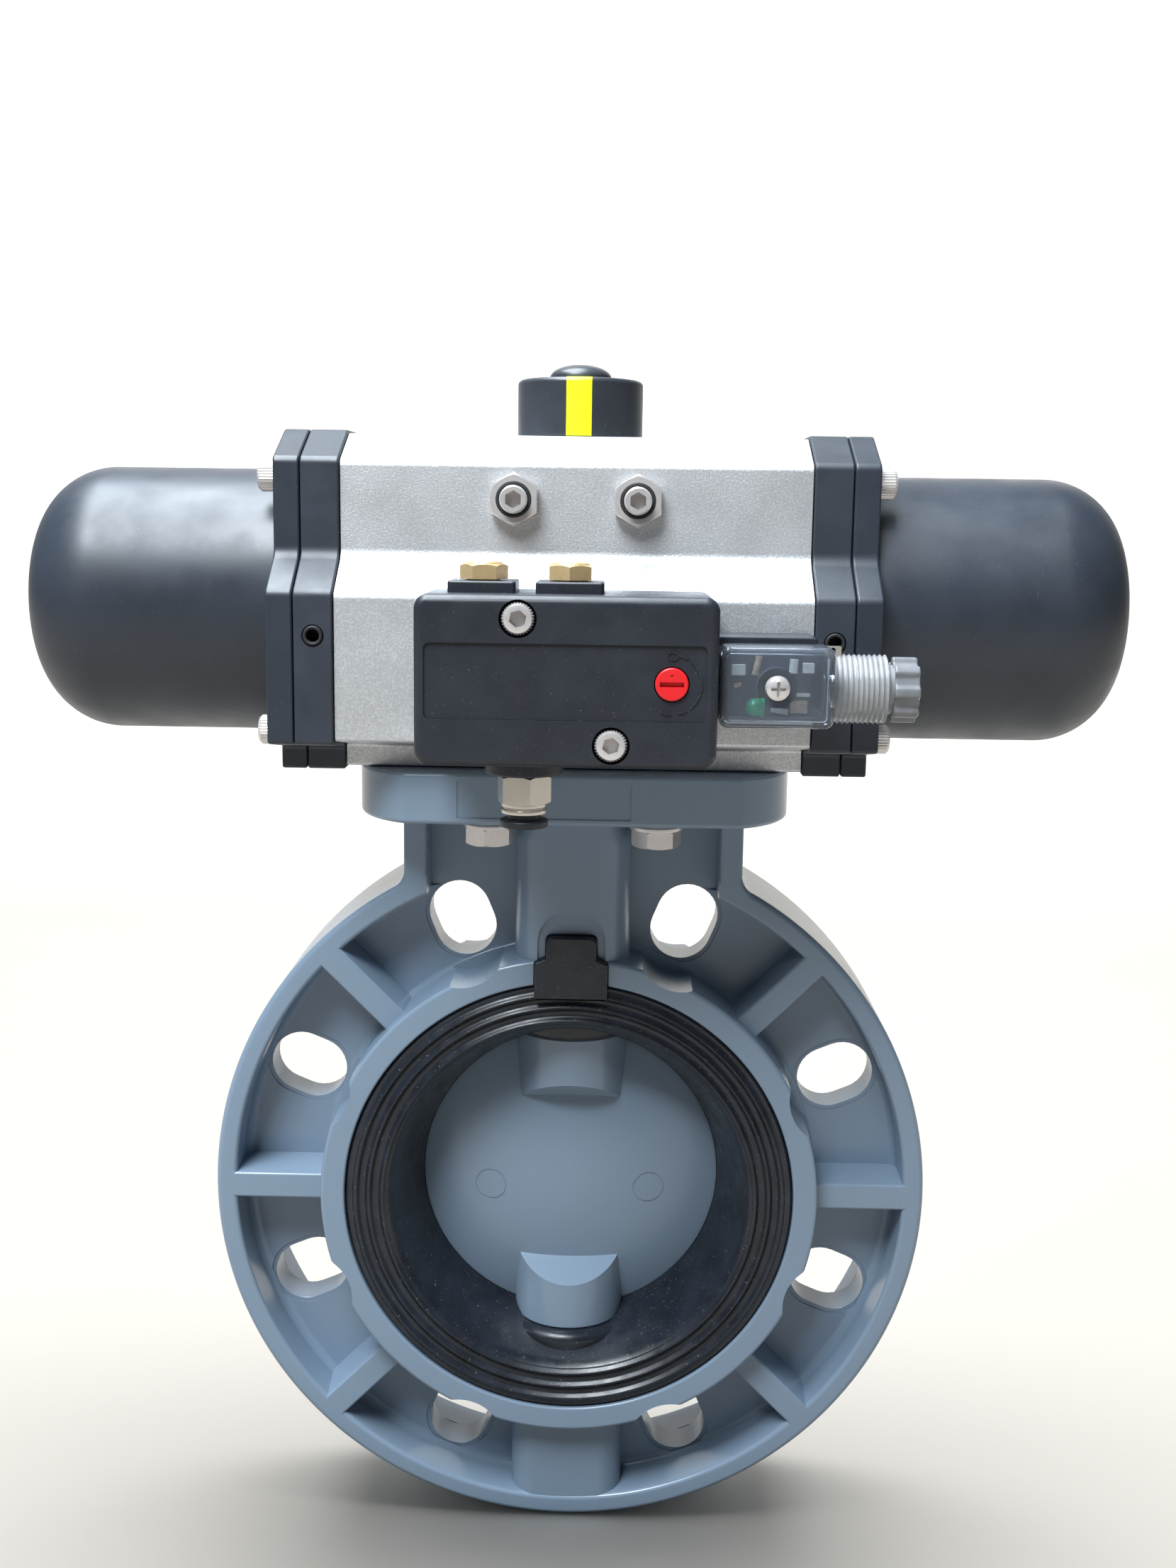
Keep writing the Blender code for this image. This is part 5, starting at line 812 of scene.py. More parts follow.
def pin_ring(x, z, side):
    """A thin ring that stops 0.2 mm inside the lens, everywhere round it."""
    angle = full_turn(64)
    radius = np.array([4.6, 5.0, 5.0, 4.6])[:, None] * MM
    px = x + radius * np.cos(angle)
    pz = z + radius * np.sin(angle)
    top = lens_depth(np.hypot(px, pz)) + np.array([-0.2, -0.2, 2.0, 2.0])[:, None] * MM
    return skin("pin_ring", placed(px, pz, side * top, "Y"), "joined")


disc = turned("disc_moulding", lens_profile(), "Y", sides=200, ends="drawn_in")
fused(disc, disc_boss(1), disc_boss(-1))
SQUARE_HALF, PIN_OUT, PIN_DROP = 5.8 * MM, 25 * MM, 3 * MM
square = box_about((0, 0), SQUARE_HALF, SQUARE_HALF, 0.3 * MM)
rings = [pin_ring(x, -PIN_DROP, side) for x in (-PIN_OUT, PIN_OUT) for side in (-1, 1)]
carved(disc, moulded("square", square, -50 * MM, 50 * MM, "Z"), *rings)
dressed(disc, "body_plastic", "valve_disc")

# %% [markdown]
# ## The actuator's housing
#
# The housing is cut from an aluminium extrusion, so it is one outline carried along the actuator: a foot, a
# wide shoulder that the solenoid valve bolts to, a narrow waist, and eaves that slope up to the roof. The
# extrusion die leaves every corner slightly round, and the softened outline shows the same radii.

# %% Outline of the extrusion
AXIS_Z = 180.7 * MM
FOOT_Z = span("actuator_body")[0, 2]
ROOF_Z = span("actuator_body")[1, 2]
HOUSING_END = span("actuator_body")[1, 0]
CYLINDER_RADIUS = 36.0 * MM
SHOULDER_Y = span("actuator_body")[1, 1]
WAIST_Y = 38.0 * MM


def housing_outline(grow, steps=5):
    """End view, grown by a margin for the caps, with a radius for each corner from the roof down."""
    half = [
        (21.0 * MM, ROOF_Z + grow), (WAIST_Y + grow, AXIS_Z + 41.1 * MM + grow / 2),
        (WAIST_Y + grow, AXIS_Z + 14.5 * MM + grow / 2), (SHOULDER_Y + grow, AXIS_Z + 4.5 * MM + grow / 2),
        (SHOULDER_Y + grow, FOOT_Z + 9.8 * MM - grow), (31 * MM + grow, FOOT_Z + 6.6 * MM - grow),
        (31 * MM + grow, FOOT_Z - grow),
    ]
    radii = np.array([4.0, 2.5, 5.0, 3.0, 1.2, 1.2, 0.8]) * MM
    return softened(both_sides(half), np.append(radii, radii[::-1]), steps)


SHAFT_BORE, HEAD_BORE, THREAD_HOLE = 16.0 * MM, 12.0 * MM, 4.2 * MM
BREAK_EDGE = (0.2 * MM, 0.2 * MM)
housing = moulded("housing_extrusion", housing_outline(0), -HOUSING_END, HOUSING_END, "X", BREAK_EDGE)
STOP_PLACES = [(x, AXIS_Z + 30.9 * MM) for x in (-17.3 * MM, 17.3 * MM)]
carved(
    housing,
    rod(CYLINDER_RADIUS, -HOUSING_END - MM, HOUSING_END + MM, "X", (0, AXIS_Z), 128),
    rod(SHAFT_BORE, FOOT_Z - MM, AXIS_Z, "Z"),
    rod(HEAD_BORE, AXIS_Z, ROOF_Z + MM, "Z"),
    *[rod(THREAD_HOLE, -WAIST_Y - MM, -WAIST_Y + 33 * MM, "Y", place, 32) for place in STOP_PLACES],
    *[rod(THREAD_HOLE, FOOT_Z - MM, FOOT_Z + 13 * MM, "Z", place, 32) for place in BOLT_PLACES],
)
dressed(housing, "anodised_aluminium", "actuator_body")

# %% [markdown]
# ## End caps and spring cans
#
# A cap and a spring can with its own flange are bolted to each end. Both flanges repeat the housing's
# outline a millimetre larger. The can itself is turned: a straight wall, a wide round shoulder, and a
# crown that is a parabola, so that the curve runs out smoothly to the middle.

# %% Caps with their vent seats
CAP_SCREWS = [(side * across, AXIS_Z + up) for across, up in ((31 * MM, 36.5 * MM), (36 * MM, -35.3 * MM))
              for side in (-1, 1)]
SIDES = {"left": -1, "right": 1}
SCREW_HOLE, VENT_HOLE, VENT_BORE, VENT_DROP = 2.8 * MM, 3.1 * MM, 1.8 * MM, 7 * MM
CAP_MARGIN = 1 * MM


def end_cap(word):
    """The housing's outline a little larger, bored for the piston, the screws and the vent."""
    low, high = span("end_cap_" + word)[:, 0]
    cap = moulded(f"cap_{word}", housing_outline(CAP_MARGIN), low, high, "X", (0.5 * MM, 0.5 * MM))
    vent = ((low + high) / 2, AXIS_Z - VENT_DROP)
    carved(
        cap,
        rod(CYLINDER_RADIUS, low - MM, high + MM, "X", (0, AXIS_Z), 128),
        *[rod(SCREW_HOLE, low - MM, high + MM, "X", place, 24) for place in CAP_SCREWS],
        rod(VENT_HOLE, -SHOULDER_Y - 2 * MM, -SHOULDER_Y + 7 * MM, "Y", vent, 40),
    )
    return dressed(cap, "cap_plastic", f"end_cap_{word}")


def vent_port(word):
    """A flared ring in the cap: its lip rolls over from the bore to the outside."""
    node = f"vent_port_{word}"
    low, high = span(node)
    outer = (high[0] - low[0]) / 2
    corners = [(VENT_BORE, high[1]), (VENT_BORE, low[1]), (outer, low[1]), (outer, high[1])]
    profile = softened(corners, np.array([0.1, 0.45, 0.45, 0.1]) * MM, 5)
    ring = turned(f"vent_ring_{word}", profile, "Y", middle_of(node, "Y"), 48)
    return dressed(ring, "seal_rubber", node)


for word in SIDES:
    end_cap(word)
    vent_port(word)

# %% Spring cans
CAN_RADIUS, CAN_WALL, CAN_CORNER = 39.4 * MM, 2.2 * MM, 22.5 * MM
CAN_CORNER_X = 139.04 * MM
FLANGE_IN, FLANGE_OUT = 77.64 * MM, 85.04 * MM


def can_profile(wall, start_x, end_x):
    """Straight wall, an arc of 75 degrees, then a parabola x = end - k r^2 from the arc's end to the
    middle."""
    turn = np.radians(np.linspace(0, 75, 20))
    arc_r = CAN_RADIUS - CAN_CORNER + (CAN_CORNER - wall) * np.cos(turn)
    arc_x = CAN_CORNER_X + (CAN_CORNER - wall) * np.sin(turn)
    crown_r = np.linspace(arc_r[-1], 0, 14)[1:]
    crown_x = end_x - (end_x - arc_x[-1]) * (crown_r / arc_r[-1]) ** 2
    radius = np.concatenate([[0, CAN_RADIUS - wall], arc_r, crown_r])
    return paired(radius, np.concatenate([[start_x, start_x], arc_x, crown_x]))


def spring_can(word, side):
    """A flange with the housing's outline, joined to the turned can and hollowed by a thinner one."""
    end_x = span("spring_can_right")[1, 0]
    mirror = np.array([1, side])
    ends = sorted((side * FLANGE_IN, side * FLANGE_OUT))
    can = moulded(f"can_{word}", housing_outline(CAP_MARGIN), *ends, "X", (0.7 * MM, 0.7 * MM))
    outside = can_profile(0, FLANGE_OUT - 3 * MM, end_x) * mirror
    inside = can_profile(CAN_WALL, FLANGE_IN - MM, end_x - CAN_WALL) * mirror
    shell = turned("shell", outside, "X", (0, AXIS_Z), 128, "drawn_in")
    hollow = turned("hollow", inside, "X", (0, AXIS_Z), 96, "drawn_in")
    holes = [rod(SCREW_HOLE, ends[0] - MM, ends[1] + MM, "X", place, 24) for place in CAP_SCREWS]
    fused(can, shell)
    return dressed(carved(can, hollow, *holes), "can_coating", f"spring_can_{word}")


for word, side in SIDES.items():
    spring_can(word, side)

# %% [markdown]
# ## Screws, nuts and bolts
#
# A socket screw's head is a turned profile whose radius ripples round the rim, which is exactly what
# a knurl is: r = R (1 + k cos(n a)). Nuts and hexagon heads are outlines whose corners a cone has
# taken off, because that is how they are machined. The nodes of the working model say where each one
# sits.

# %% Socket screws with knurled heads
HEAD_RADIUS, SHANK_RADIUS = 4.25 * MM, 2.4 * MM
HEAD_HEIGHT, SOCKET_FLATS, SOCKET_DEPTH = 5.0 * MM, 4.0 * MM, 3.2 * MM
KNURLS, KNURL_DEPTH = 32, 0.028


def socket_screw(name, axis, centre, tip, top, way):
    """A screw whose head faces way along the axis: the top is the head's face and the tip its other
    end. The ripple is only on the rows of the head's rim."""
    seat = top - way * HEAD_HEIGHT
    rim = HEAD_RADIUS - 0.12 * MM
    shank = [(0, tip), (SHANK_RADIUS, tip), (SHANK_RADIUS, seat), (rim - 0.2 * MM, seat)]
    knurled = [(rim, seat + way * 0.3 * MM), (rim, top - way * 0.9 * MM)]
    crown = [(rim - 0.5 * MM, top - way * 0.15 * MM), (rim - 0.9 * MM, top), (0, top)]
    profile = shank + knurled + crown
    angle = full_turn(KNURLS * 6)
    on_rim = np.zeros((len(profile), 1))
    on_rim[len(shank):len(shank) + len(knurled)] = 1
    ripple = on_rim * KNURL_DEPTH * np.cos(KNURLS * angle)
    screw = turned(name, profile, axis, centre, KNURLS * 6, "drawn_in", ripple)
    ends = sorted((top - way * SOCKET_DEPTH, top + way * MM))
    return carved(screw, moulded("socket", hexagon(SOCKET_FLATS, centre, 0.3), *ends, axis))


for word, side in SIDES.items():
    for number in range(1, 5):
        node = f"cap_screw_{word}_{number}"
        tip, top = span(node)[::side, 0]
        screw = socket_screw(f"can_screw_{word}_{number}", "X", middle_of(node, "X"), tip, top, side)
        dressed(screw, "stainless", node)

for word in ("upper", "lower"):
    node = f"solenoid_screw_{word}"
    top, tip = span(node)[:, 1]
    screw = socket_screw(f"block_screw_{word}", "Y", middle_of(node, "Y"), tip, top, -1)
    dressed(screw, "stainless", node)


# %% Hexagons with turned corners
def hexagon_head(name, flats, centre, low, high, axis, start=0.0, chamfer_low=True, chamfer_high=True):
    """A hexagon between two heights, cut to a drum whose ends draw in to the flats in a short cone."""
    head = moulded(name, hexagon(flats, centre, start, 0.15 * MM), low, high, axis)
    corner, cone = flats / math.sqrt(3) + 0.1 * MM, flats * 0.055
    inner = flats / 2 * 0.97
    drum = [(0, low), (inner if chamfer_low else corner, low), (corner, low + cone), (corner, high - cone),
            (inner if chamfer_high else corner, high), (0, high)]
    return trimmed(head, turned("drum", drum, axis, centre, 96, "drawn_in"))


BOLT_SEAT = PLATE_LOW - 0.3 * MM
BOLT_FLATS, WASHER_RADIUS, RING_RADIUS, BOLT_SHANK = 13 * MM, 8 * MM, 6.9 * MM, 3.9 * MM
WASHER_EDGE = (0.3 * MM, 0.3 * MM)
for number, place in enumerate(BOLT_PLACES, 1):
    low, high = span(f"mounting_bolt_{number}")[:, 2]
    washer_low = low + 5.3 * MM
    head_high = washer_low + 0.3 * MM
    bolt = hexagon_head(f"plate_bolt_{number}", BOLT_FLATS, place, low, head_high, "Z", 0.4 * number)
    washer_ends = washer_low, washer_low + 1.3 * MM
    washer = moulded("washer", circle(WASHER_RADIUS, place), *washer_ends, "Z", WASHER_EDGE)
    ring = moulded("ring", circle(RING_RADIUS, place), washer_low + MM, BOLT_SEAT, "Z", WASHER_EDGE)
    fused(bolt, washer, ring, rod(BOLT_SHANK, BOLT_SEAT - MM, high, "Z", place, 40))
    dressed(bolt, "stainless", f"mounting_bolt_{number}")

# %% Travel stops and their lock nuts
STOP_RADIUS, STOP_FLATS = 3.9 * MM, 4.3 * MM
SEAL_IN, SEAL_OUT = 4.05 * MM, 4.95 * MM
STOP_THREAD, SILENCER_THREAD, FITTING_THREAD = (1.25 * MM, 0.45 * MM), (0.9 * MM, 0.4 * MM), (1.0 * MM,
                                                                                              0.5 * MM)


def threaded_bar(name, radius, low, high, pitch, depth, axis, centre, sides):
    """A bar whose radius falls and rises with each pitch: r = R - depth (1 - cos(2 pi h / pitch)) / 2."""
    count = int((high - low) / pitch) * 6
    height = np.linspace(low, high, count)
    groove = radius - depth * (1 - np.cos(2 * math.pi * (height - low) / pitch)) / 2
    groove[[0, -1]] = radius - depth
    rows = paired(groove, height)
    return turned(name, np.vstack([[(0, low)], rows, [(0, high)]]), axis, centre, sides, "drawn_in")


for word, place in zip(("left", "right"), STOP_PLACES):
    front, tip = span(f"stop_screw_{word}")[:, 1]
    stop = threaded_bar(f"travel_stop_{word}", STOP_RADIUS, front, tip, *STOP_THREAD, "Y", place, 64)
    carved(stop, moulded("socket", hexagon(STOP_FLATS, place, 0.5), front - MM, front + 3.5 * MM, "Y"))
    dressed(stop, "stainless", f"stop_screw_{word}")
    nut_front, nut_back = span(f"stop_nut_{word}")[:, 1]
    nut = hexagon_head(f"lock_nut_{word}", BOLT_FLATS, place, nut_front, nut_back, "Y", math.pi / 2)
    seal_seat = moulded("seal_seat", circle(5.0 * MM, place), nut_front - MM, nut_front + 0.7 * MM, "Y")
    carved(nut, rod(THREAD_HOLE, nut_front - MM, nut_back + MM, "Y", place, 64), seal_seat)
    dressed(nut, "stainless", f"stop_nut_{word}")
    seal_front = nut_front - 0.1 * MM
    corners = [(SEAL_IN, nut_front + 0.9 * MM), (SEAL_IN, seal_front),
               (SEAL_OUT, seal_front), (SEAL_OUT, nut_front + 0.6 * MM)]
    seal = turned(f"stop_seal_{word}", softened(corners, 0.3 * MM), "Y", place, 64)
    dressed(seal, "seal_rubber", body="housing")

# %% [markdown]
# ## The position knob
#
# The knob turns with the disc and shows where it stands. It is a plain turned cap with a trough across its
# crown for the yellow stripe, and a domed screw holds both down.

# %% Knob, stripe and dome
KNOB_RADIUS = span("indicator_knob")[1, 0]
KNOB_LOW, KNOB_TOP = span("indicator_knob")[:, 2]
STRIPE_HALF, STRIPE_DEEP = 3.7 * MM, 1.0 * MM
KNOB_HOLE, HEAD_ROOM = 2.7 * MM, 9.3 * MM


def knob_profile(radius, top, edge):
    """Side wall and crown of the knob, with a round edge between them."""
    turn = quarter_turn(8)
    rounded = paired(radius - edge * (1 - np.cos(turn)), top - edge * (1 - np.sin(turn)))
    foot = [(0, KNOB_LOW), (radius - 0.3 * MM, KNOB_LOW), (radius, KNOB_LOW + 0.3 * MM)]
    return np.vstack([foot, rounded, [(0, top)]])


def trough(grow):
    """The room that the stripe needs: a slab through the stem's axis, less the knob's core."""
    half, core = STRIPE_HALF + grow, KNOB_RADIUS - STRIPE_DEEP - grow
    outline = box_about((0, 0), half, 25 * MM, 0.05 * MM)
    slab = moulded("slab", outline, KNOB_LOW - MM, KNOB_TOP + MM, "Z")
    inner = box_about((0, 0), 2 * half, core, 0.05 * MM)
    return carved(slab, moulded("core", inner, KNOB_LOW - 2 * MM, KNOB_TOP - STRIPE_DEEP - grow, "Z"))


def knob_blank(name):
    """The whole turned cap, from which both the knob and the stripe are cut."""
    return turned(name, knob_profile(KNOB_RADIUS, KNOB_TOP, 1.5 * MM), "Z", sides=160, ends="drawn_in")


stripe = trimmed(knob_blank("position_stripe"), trough(0.0))
carved(stripe, rod(KNOB_HOLE, KNOB_LOW, KNOB_TOP + MM, "Z"))
dressed(stripe, "indicator_yellow", "indicator_stripe")
knob = carved(
    knob_blank("position_knob"), trough(0.06 * MM), rod(KNOB_HOLE, KNOB_LOW, KNOB_TOP + MM, "Z"),
    rod(HEAD_ROOM, KNOB_LOW - MM, ROOF_Z + 6.5 * MM, "Z"),
)
dressed(knob, "indicator_plastic", "indicator_knob")

screw_low, dome_top = span("indicator_screw")[:, 2]
dome_radius = span("indicator_screw")[1, 0]
dome_seat = KNOB_TOP + 0.3 * MM
turn = quarter_turn(16)
dome_height = dome_seat + 0.6 * MM + (dome_top - dome_seat - 0.6 * MM) * np.sin(turn)
dome = paired(dome_radius * np.cos(turn), dome_height)
shank = [(0, screw_low), (SHANK_RADIUS, screw_low), (SHANK_RADIUS, dome_seat), (dome_radius, dome_seat)]
dome_screw = turned("dome_screw", np.vstack([shank, dome]), "Z", sides=96, ends="drawn_in")
notch_outline = box_about((0, 0), 0.5 * MM, 2.2 * MM, 0.3 * MM)
notch = moulded("notch", notch_outline, dome_top - 0.5 * MM, dome_top + MM, "Z")
dressed(carved(dome_screw, notch), "indicator_plastic", "indicator_screw")

# %% [markdown]
# ## The solenoid valve's block
#
# This is a moulded box with generously rounded edges, a shallow panel on its face, and two square
# collars for the silencers. The panel is left blank apart from the position marks round the red
# override knob. The face's edge is the same quarter circle that every moulded piece here uses, only
# larger.

# %% Block, collars and panel
BLOCK_LOW_X, BLOCK_HIGH_X = -39.6 * MM, 38.0 * MM
BLOCK_FACE, BLOCK_BACK = -89.6 * MM, -52.6 * MM
INTERFACE_Z = 165.5 * MM
BLOCK_LOW_Z, BLOCK_HIGH_Z = INTERFACE_Z - 21.95 * MM, INTERFACE_Z + 21.95 * MM
SILENCERS = {"left": -23.1 * MM, "right": -0.3 * MM}
SILENCER_Y = -70.6 * MM
COLLAR_TOP = BLOCK_HIGH_Z + 3.0 * MM
INLET = (-12.0 * MM, -72.6 * MM)
OVERRIDE = (26.1 * MM, INTERFACE_Z)
PANEL_DEPTH, PANEL_HALF = 0.6 * MM, 9.8 * MM
COLLAR_HALF, COUNTERBORE = 8.85 * MM, 4.85 * MM

block_outline = box_outline(BLOCK_LOW_X, BLOCK_HIGH_X, BLOCK_LOW_Z, BLOCK_HIGH_Z, 3.6 * MM, 8)
block = moulded("valve_block", block_outline, BLOCK_FACE, BLOCK_BACK, "Y", (2.2 * MM, 0.6 * MM), 6)
collars = []
for x in SILENCERS.values():
    outline = box_about((x, SILENCER_Y), COLLAR_HALF, COLLAR_HALF, 1.0 * MM)
    collars.append(moulded("collar", outline, BLOCK_HIGH_Z - 2 * MM, COLLAR_TOP, "Z", (0.0, 0.6 * MM)))
inlet_seat_low = BLOCK_LOW_Z - 3.8 * MM
seat_outline = circle(10.5 * MM, INLET)
inlet_seat = moulded("inlet_seat", seat_outline, inlet_seat_low, BLOCK_LOW_Z + 2 * MM, "Z", (0.6 * MM, 0.0))
fused(block, *collars, inlet_seat)

panel_ends = BLOCK_LOW_X + 2.6 * MM, BLOCK_HIGH_X - 3 * MM
panel = box_outline(*panel_ends, INTERFACE_Z - PANEL_HALF, INTERFACE_Z + PANEL_HALF, 1.6 * MM)
cutters = [
    moulded("panel", panel, BLOCK_FACE - MM, BLOCK_FACE + PANEL_DEPTH, "Y"),
    rod(4.55 * MM, BLOCK_FACE - MM, BLOCK_FACE + 9.3 * MM, "Y", OVERRIDE, 64),
    rod(6.0 * MM, BLOCK_LOW_X + 6 * MM, BLOCK_HIGH_X + MM, "X", (-66.6 * MM, INTERFACE_Z), 40),
    rod(6.1 * MM, inlet_seat_low - MM, BLOCK_LOW_Z + 5.7 * MM, "Z", INLET, 48),
]
silencer_places = [(x, SILENCER_Y) for x in SILENCERS.values()]
cutters += [rod(4.9 * MM, COLLAR_TOP - 8 * MM, COLLAR_TOP + MM, "Z", place) for place in silencer_places]
for word in ("upper", "lower"):
    place = middle_of(f"solenoid_screw_{word}", "Y")
    cutters.append(rod(COUNTERBORE, BLOCK_FACE - MM, BLOCK_FACE + 5.2 * MM, "Y", place, 72))
    cutters.append(rod(SCREW_HOLE, BLOCK_FACE, BLOCK_BACK + MM, "Y", place, 32))
carved(block, *cutters)
dressed(block, "solenoid_plastic", "solenoid_body")


# %% Marks round the override knob
def bent_bar(name, centre, radius, start, end, width, low, high):
    """A flat bar bent along part of a circle, with square ends."""
    angle = np.radians(np.linspace(start, end, 24))
    section_r = np.array([radius - width / 2, radius + width / 2, radius + width / 2, radius - width / 2])
    section_y = np.array([low, low, high, high])
    x = centre[0] + section_r[None, :] * np.cos(angle)[:, None]
    z = centre[1] + section_r[None, :] * np.sin(angle)[:, None]
    return skin(name, placed(x, z, np.broadcast_to(section_y, x.shape), "Y"))


mark_ends = (BLOCK_FACE + 0.25 * MM, BLOCK_FACE + PANEL_DEPTH + 0.1 * MM)
MARK_RADIUS, MARK_WIDTH = 7.6 * MM, 0.5 * MM
marks = bent_bar("override_marks", OVERRIDE, MARK_RADIUS, -52, 52, MARK_WIDTH, *mark_ends)
ticks = [
    bent_bar("tick", OVERRIDE, MARK_RADIUS, middle - 9, middle + 9, MARK_WIDTH, *mark_ends)
    for middle in (-100, -68, 68)
]
zero_place = (OVERRIDE[0], OVERRIDE[1] + 7.2 * MM)
angle = full_turn(32)
zero_radius = np.array([0.9, 1.3, 1.3, 0.9])[:, None] * MM
zero_depth = np.array([mark_ends[0], mark_ends[0], mark_ends[1], mark_ends[1]])[:, None]
zero_x = zero_place[0] + 1.25 * zero_radius * np.cos(angle)
zero_z = zero_place[1] + 0.9 * zero_radius * np.sin(angle)
zero = skin("zero", placed(zero_x, zero_z, np.broadcast_to(zero_depth, zero_x.shape), "Y"), "joined")
dressed(fused(marks, *ticks, zero), "solenoid_plastic", body="housing")

# %% Red override knob
knob_face, knob_back = span("override_knob")[:, 1]
red_outline = circle(4.25 * MM, OVERRIDE, 72)
override = moulded("manual_override", red_outline, knob_face, knob_back, "Y", (0.5 * MM, 0.2 * MM))
slot = box_about(OVERRIDE, 3.1 * MM, 0.65 * MM, 0.3 * MM)
pip_outline = circle(0.45 * MM, (OVERRIDE[0], OVERRIDE[1] + 2.2 * MM), 24)
pip = moulded("pip", pip_outline, knob_face - MM, knob_face + 0.3 * MM, "Y")
carved(override, moulded("slot", slot, knob_face - MM, knob_face + 1.5 * MM, "Y"), pip)
dressed(override, "override_red", "override_knob")

# %% Brass silencers
CROWN_RADIUS, CROWN_EDGE = 5.2 * MM, 1.2 * MM
for word, x in SILENCERS.items():
    place = (x, SILENCER_Y)
    low, high = span(f"silencer_{word}")[:, 2]
    seat = COLLAR_TOP + 0.3 * MM
    turned_by = {"left": 0.1, "right": 0.5}[word]
    hex_ends = seat, seat + 3.9 * MM
    silencer = hexagon_head(f"exhaust_silencer_{word}", 11 * MM, place, *hex_ends, "Z", turned_by, False)
    turn = quarter_turn(10)
    crown_r = np.concatenate([[0, CROWN_RADIUS], CROWN_RADIUS - CROWN_EDGE * (1 - np.cos(turn)), [0]])
    crown_z = np.concatenate([[seat, seat], high - CROWN_EDGE * (1 - np.sin(turn)), [high]])
    crown = turned("crown", paired(crown_r, crown_z), "Z", place, 64, "drawn_in")
    thread = threaded_bar("thread", 4.6 * MM, low, seat + 0.2 * MM, *SILENCER_THREAD, "Z", place, 48)
    dressed(fused(silencer, crown, thread), "silencer_brass", f"silencer_{word}")

# %% Nickel fitting and its release collar
fitting_low, fitting_high = span("air_fitting")[:, 2]
hex_low, hex_high = fitting_low + 2.6 * MM, inlet_seat_low - 0.3 * MM
TUBE_BORE, NECK_RADIUS, NECK_GROOVE, AIR_BORE = 4.7 * MM, 6.2 * MM, 5.6 * MM, 3.3 * MM
fitting = hexagon_head("push_in_fitting", BOLT_FLATS, INLET, hex_low, hex_high, "Z", -0.26)
neck_corners = [
    (TUBE_BORE, fitting_low), (NECK_RADIUS, fitting_low), (NECK_RADIUS, fitting_low + 1.1 * MM),
    (NECK_GROOVE, fitting_low + 1.5 * MM), (NECK_RADIUS, fitting_low + 1.9 * MM),
    (NECK_RADIUS, hex_low + MM), (TUBE_BORE, hex_low + MM),
]
neck = turned("neck", softened(neck_corners, 0.2 * MM, 3), "Z", INLET, 72)
stub = threaded_bar("stub", 5.8 * MM, hex_high - MM, fitting_high, *FITTING_THREAD, "Z", INLET, 56)
fused(fitting, stub)
carved(fitting, rod(TUBE_BORE, hex_low - MM, fitting_low + 7.8 * MM, "Z", INLET),
       rod(AIR_BORE, fitting_low + 7 * MM, fitting_high + MM, "Z", INLET))
dressed(fused(fitting, neck), "fitting_nickel", "air_fitting")

collar_low, collar_high = span("release_collar")[:, 2]
COLLAR_LIP, COLLAR_SLEEVE, lip_top = 6.4 * MM, 4.4 * MM, collar_low + 2 * MM
collar_corners = [(AIR_BORE, collar_low), (COLLAR_LIP, collar_low), (COLLAR_LIP, lip_top),
                  (COLLAR_SLEEVE, lip_top), (COLLAR_SLEEVE, collar_high), (AIR_BORE, collar_high)]
collar_radii = np.array([0.5, 0.5, 0.4, 0.2, 0.2, 0.2]) * MM
collar = turned("tube_release", softened(collar_corners, collar_radii, 4), "Z", INLET, 72)
dressed(collar, "solenoid_plastic", "release_collar")

# %% [markdown]
# ## The clear connector
#
# The plug on the coil is moulded from smoky clear plastic, so its lamp, resistors and screw well show
# through. It is a rounded box that is hollow from behind. Its gland is a separate skin with fine
# rings on it, because it is rougher than the box, and the lobed nut screws on its end.

# %% Clear shell
PLUG_LOW_X, PLUG_FACE = span("connector_housing")[0, :2]
PLUG_LOW_Z = 154.0 * MM
PLUG_HIGH_X, PLUG_BACK = PLUG_LOW_X + 29.5 * MM, -70.9 * MM
PLUG_HIGH_Z = PLUG_LOW_Z + 20.9 * MM
PLUG_MIDDLE = ((PLUG_LOW_X + PLUG_HIGH_X) / 2, (PLUG_LOW_Z + PLUG_HIGH_Z) / 2)
WALL, CORD_HOLE, TAIL_RADIUS = 1.6 * MM, 4.8 * MM, 6.6 * MM
shell_outline = box_outline(PLUG_LOW_X, PLUG_HIGH_X, PLUG_LOW_Z, PLUG_HIGH_Z, 2.2 * MM, 6)
cavity_sides = PLUG_LOW_X + WALL, PLUG_HIGH_X - WALL, PLUG_LOW_Z + WALL, PLUG_HIGH_Z - WALL
cavity_outline = box_outline(*cavity_sides, 1.2 * MM)
shell = moulded("plug_shell", shell_outline, PLUG_FACE, PLUG_BACK, "Y", (1.4 * MM, 0.3 * MM))
well = rod(5.2 * MM, PLUG_FACE + MM, PLUG_FACE + 8.6 * MM, "Y", PLUG_MIDDLE, 64)
GLAND = (-68.6 * MM, 163.0 * MM)
cavity = moulded("cavity", cavity_outline, PLUG_FACE + WALL, PLUG_BACK + MM, "Y", (0.6 * MM, 0.0))
carved(cavity, well)
carved(shell, cavity, rod(1.8 * MM, PLUG_FACE - MM, PLUG_FACE + 10 * MM, "Y", PLUG_MIDDLE, 32),
       rod(3.6 * MM, PLUG_FACE - MM, PLUG_FACE + 0.3 * MM, "Y", PLUG_MIDDLE, 64),
       rod(CORD_HOLE, PLUG_HIGH_X - 2 * WALL, PLUG_HIGH_X + MM, "X", GLAND, 64))
dressed(shell, "clear_plastic", "connector_housing")

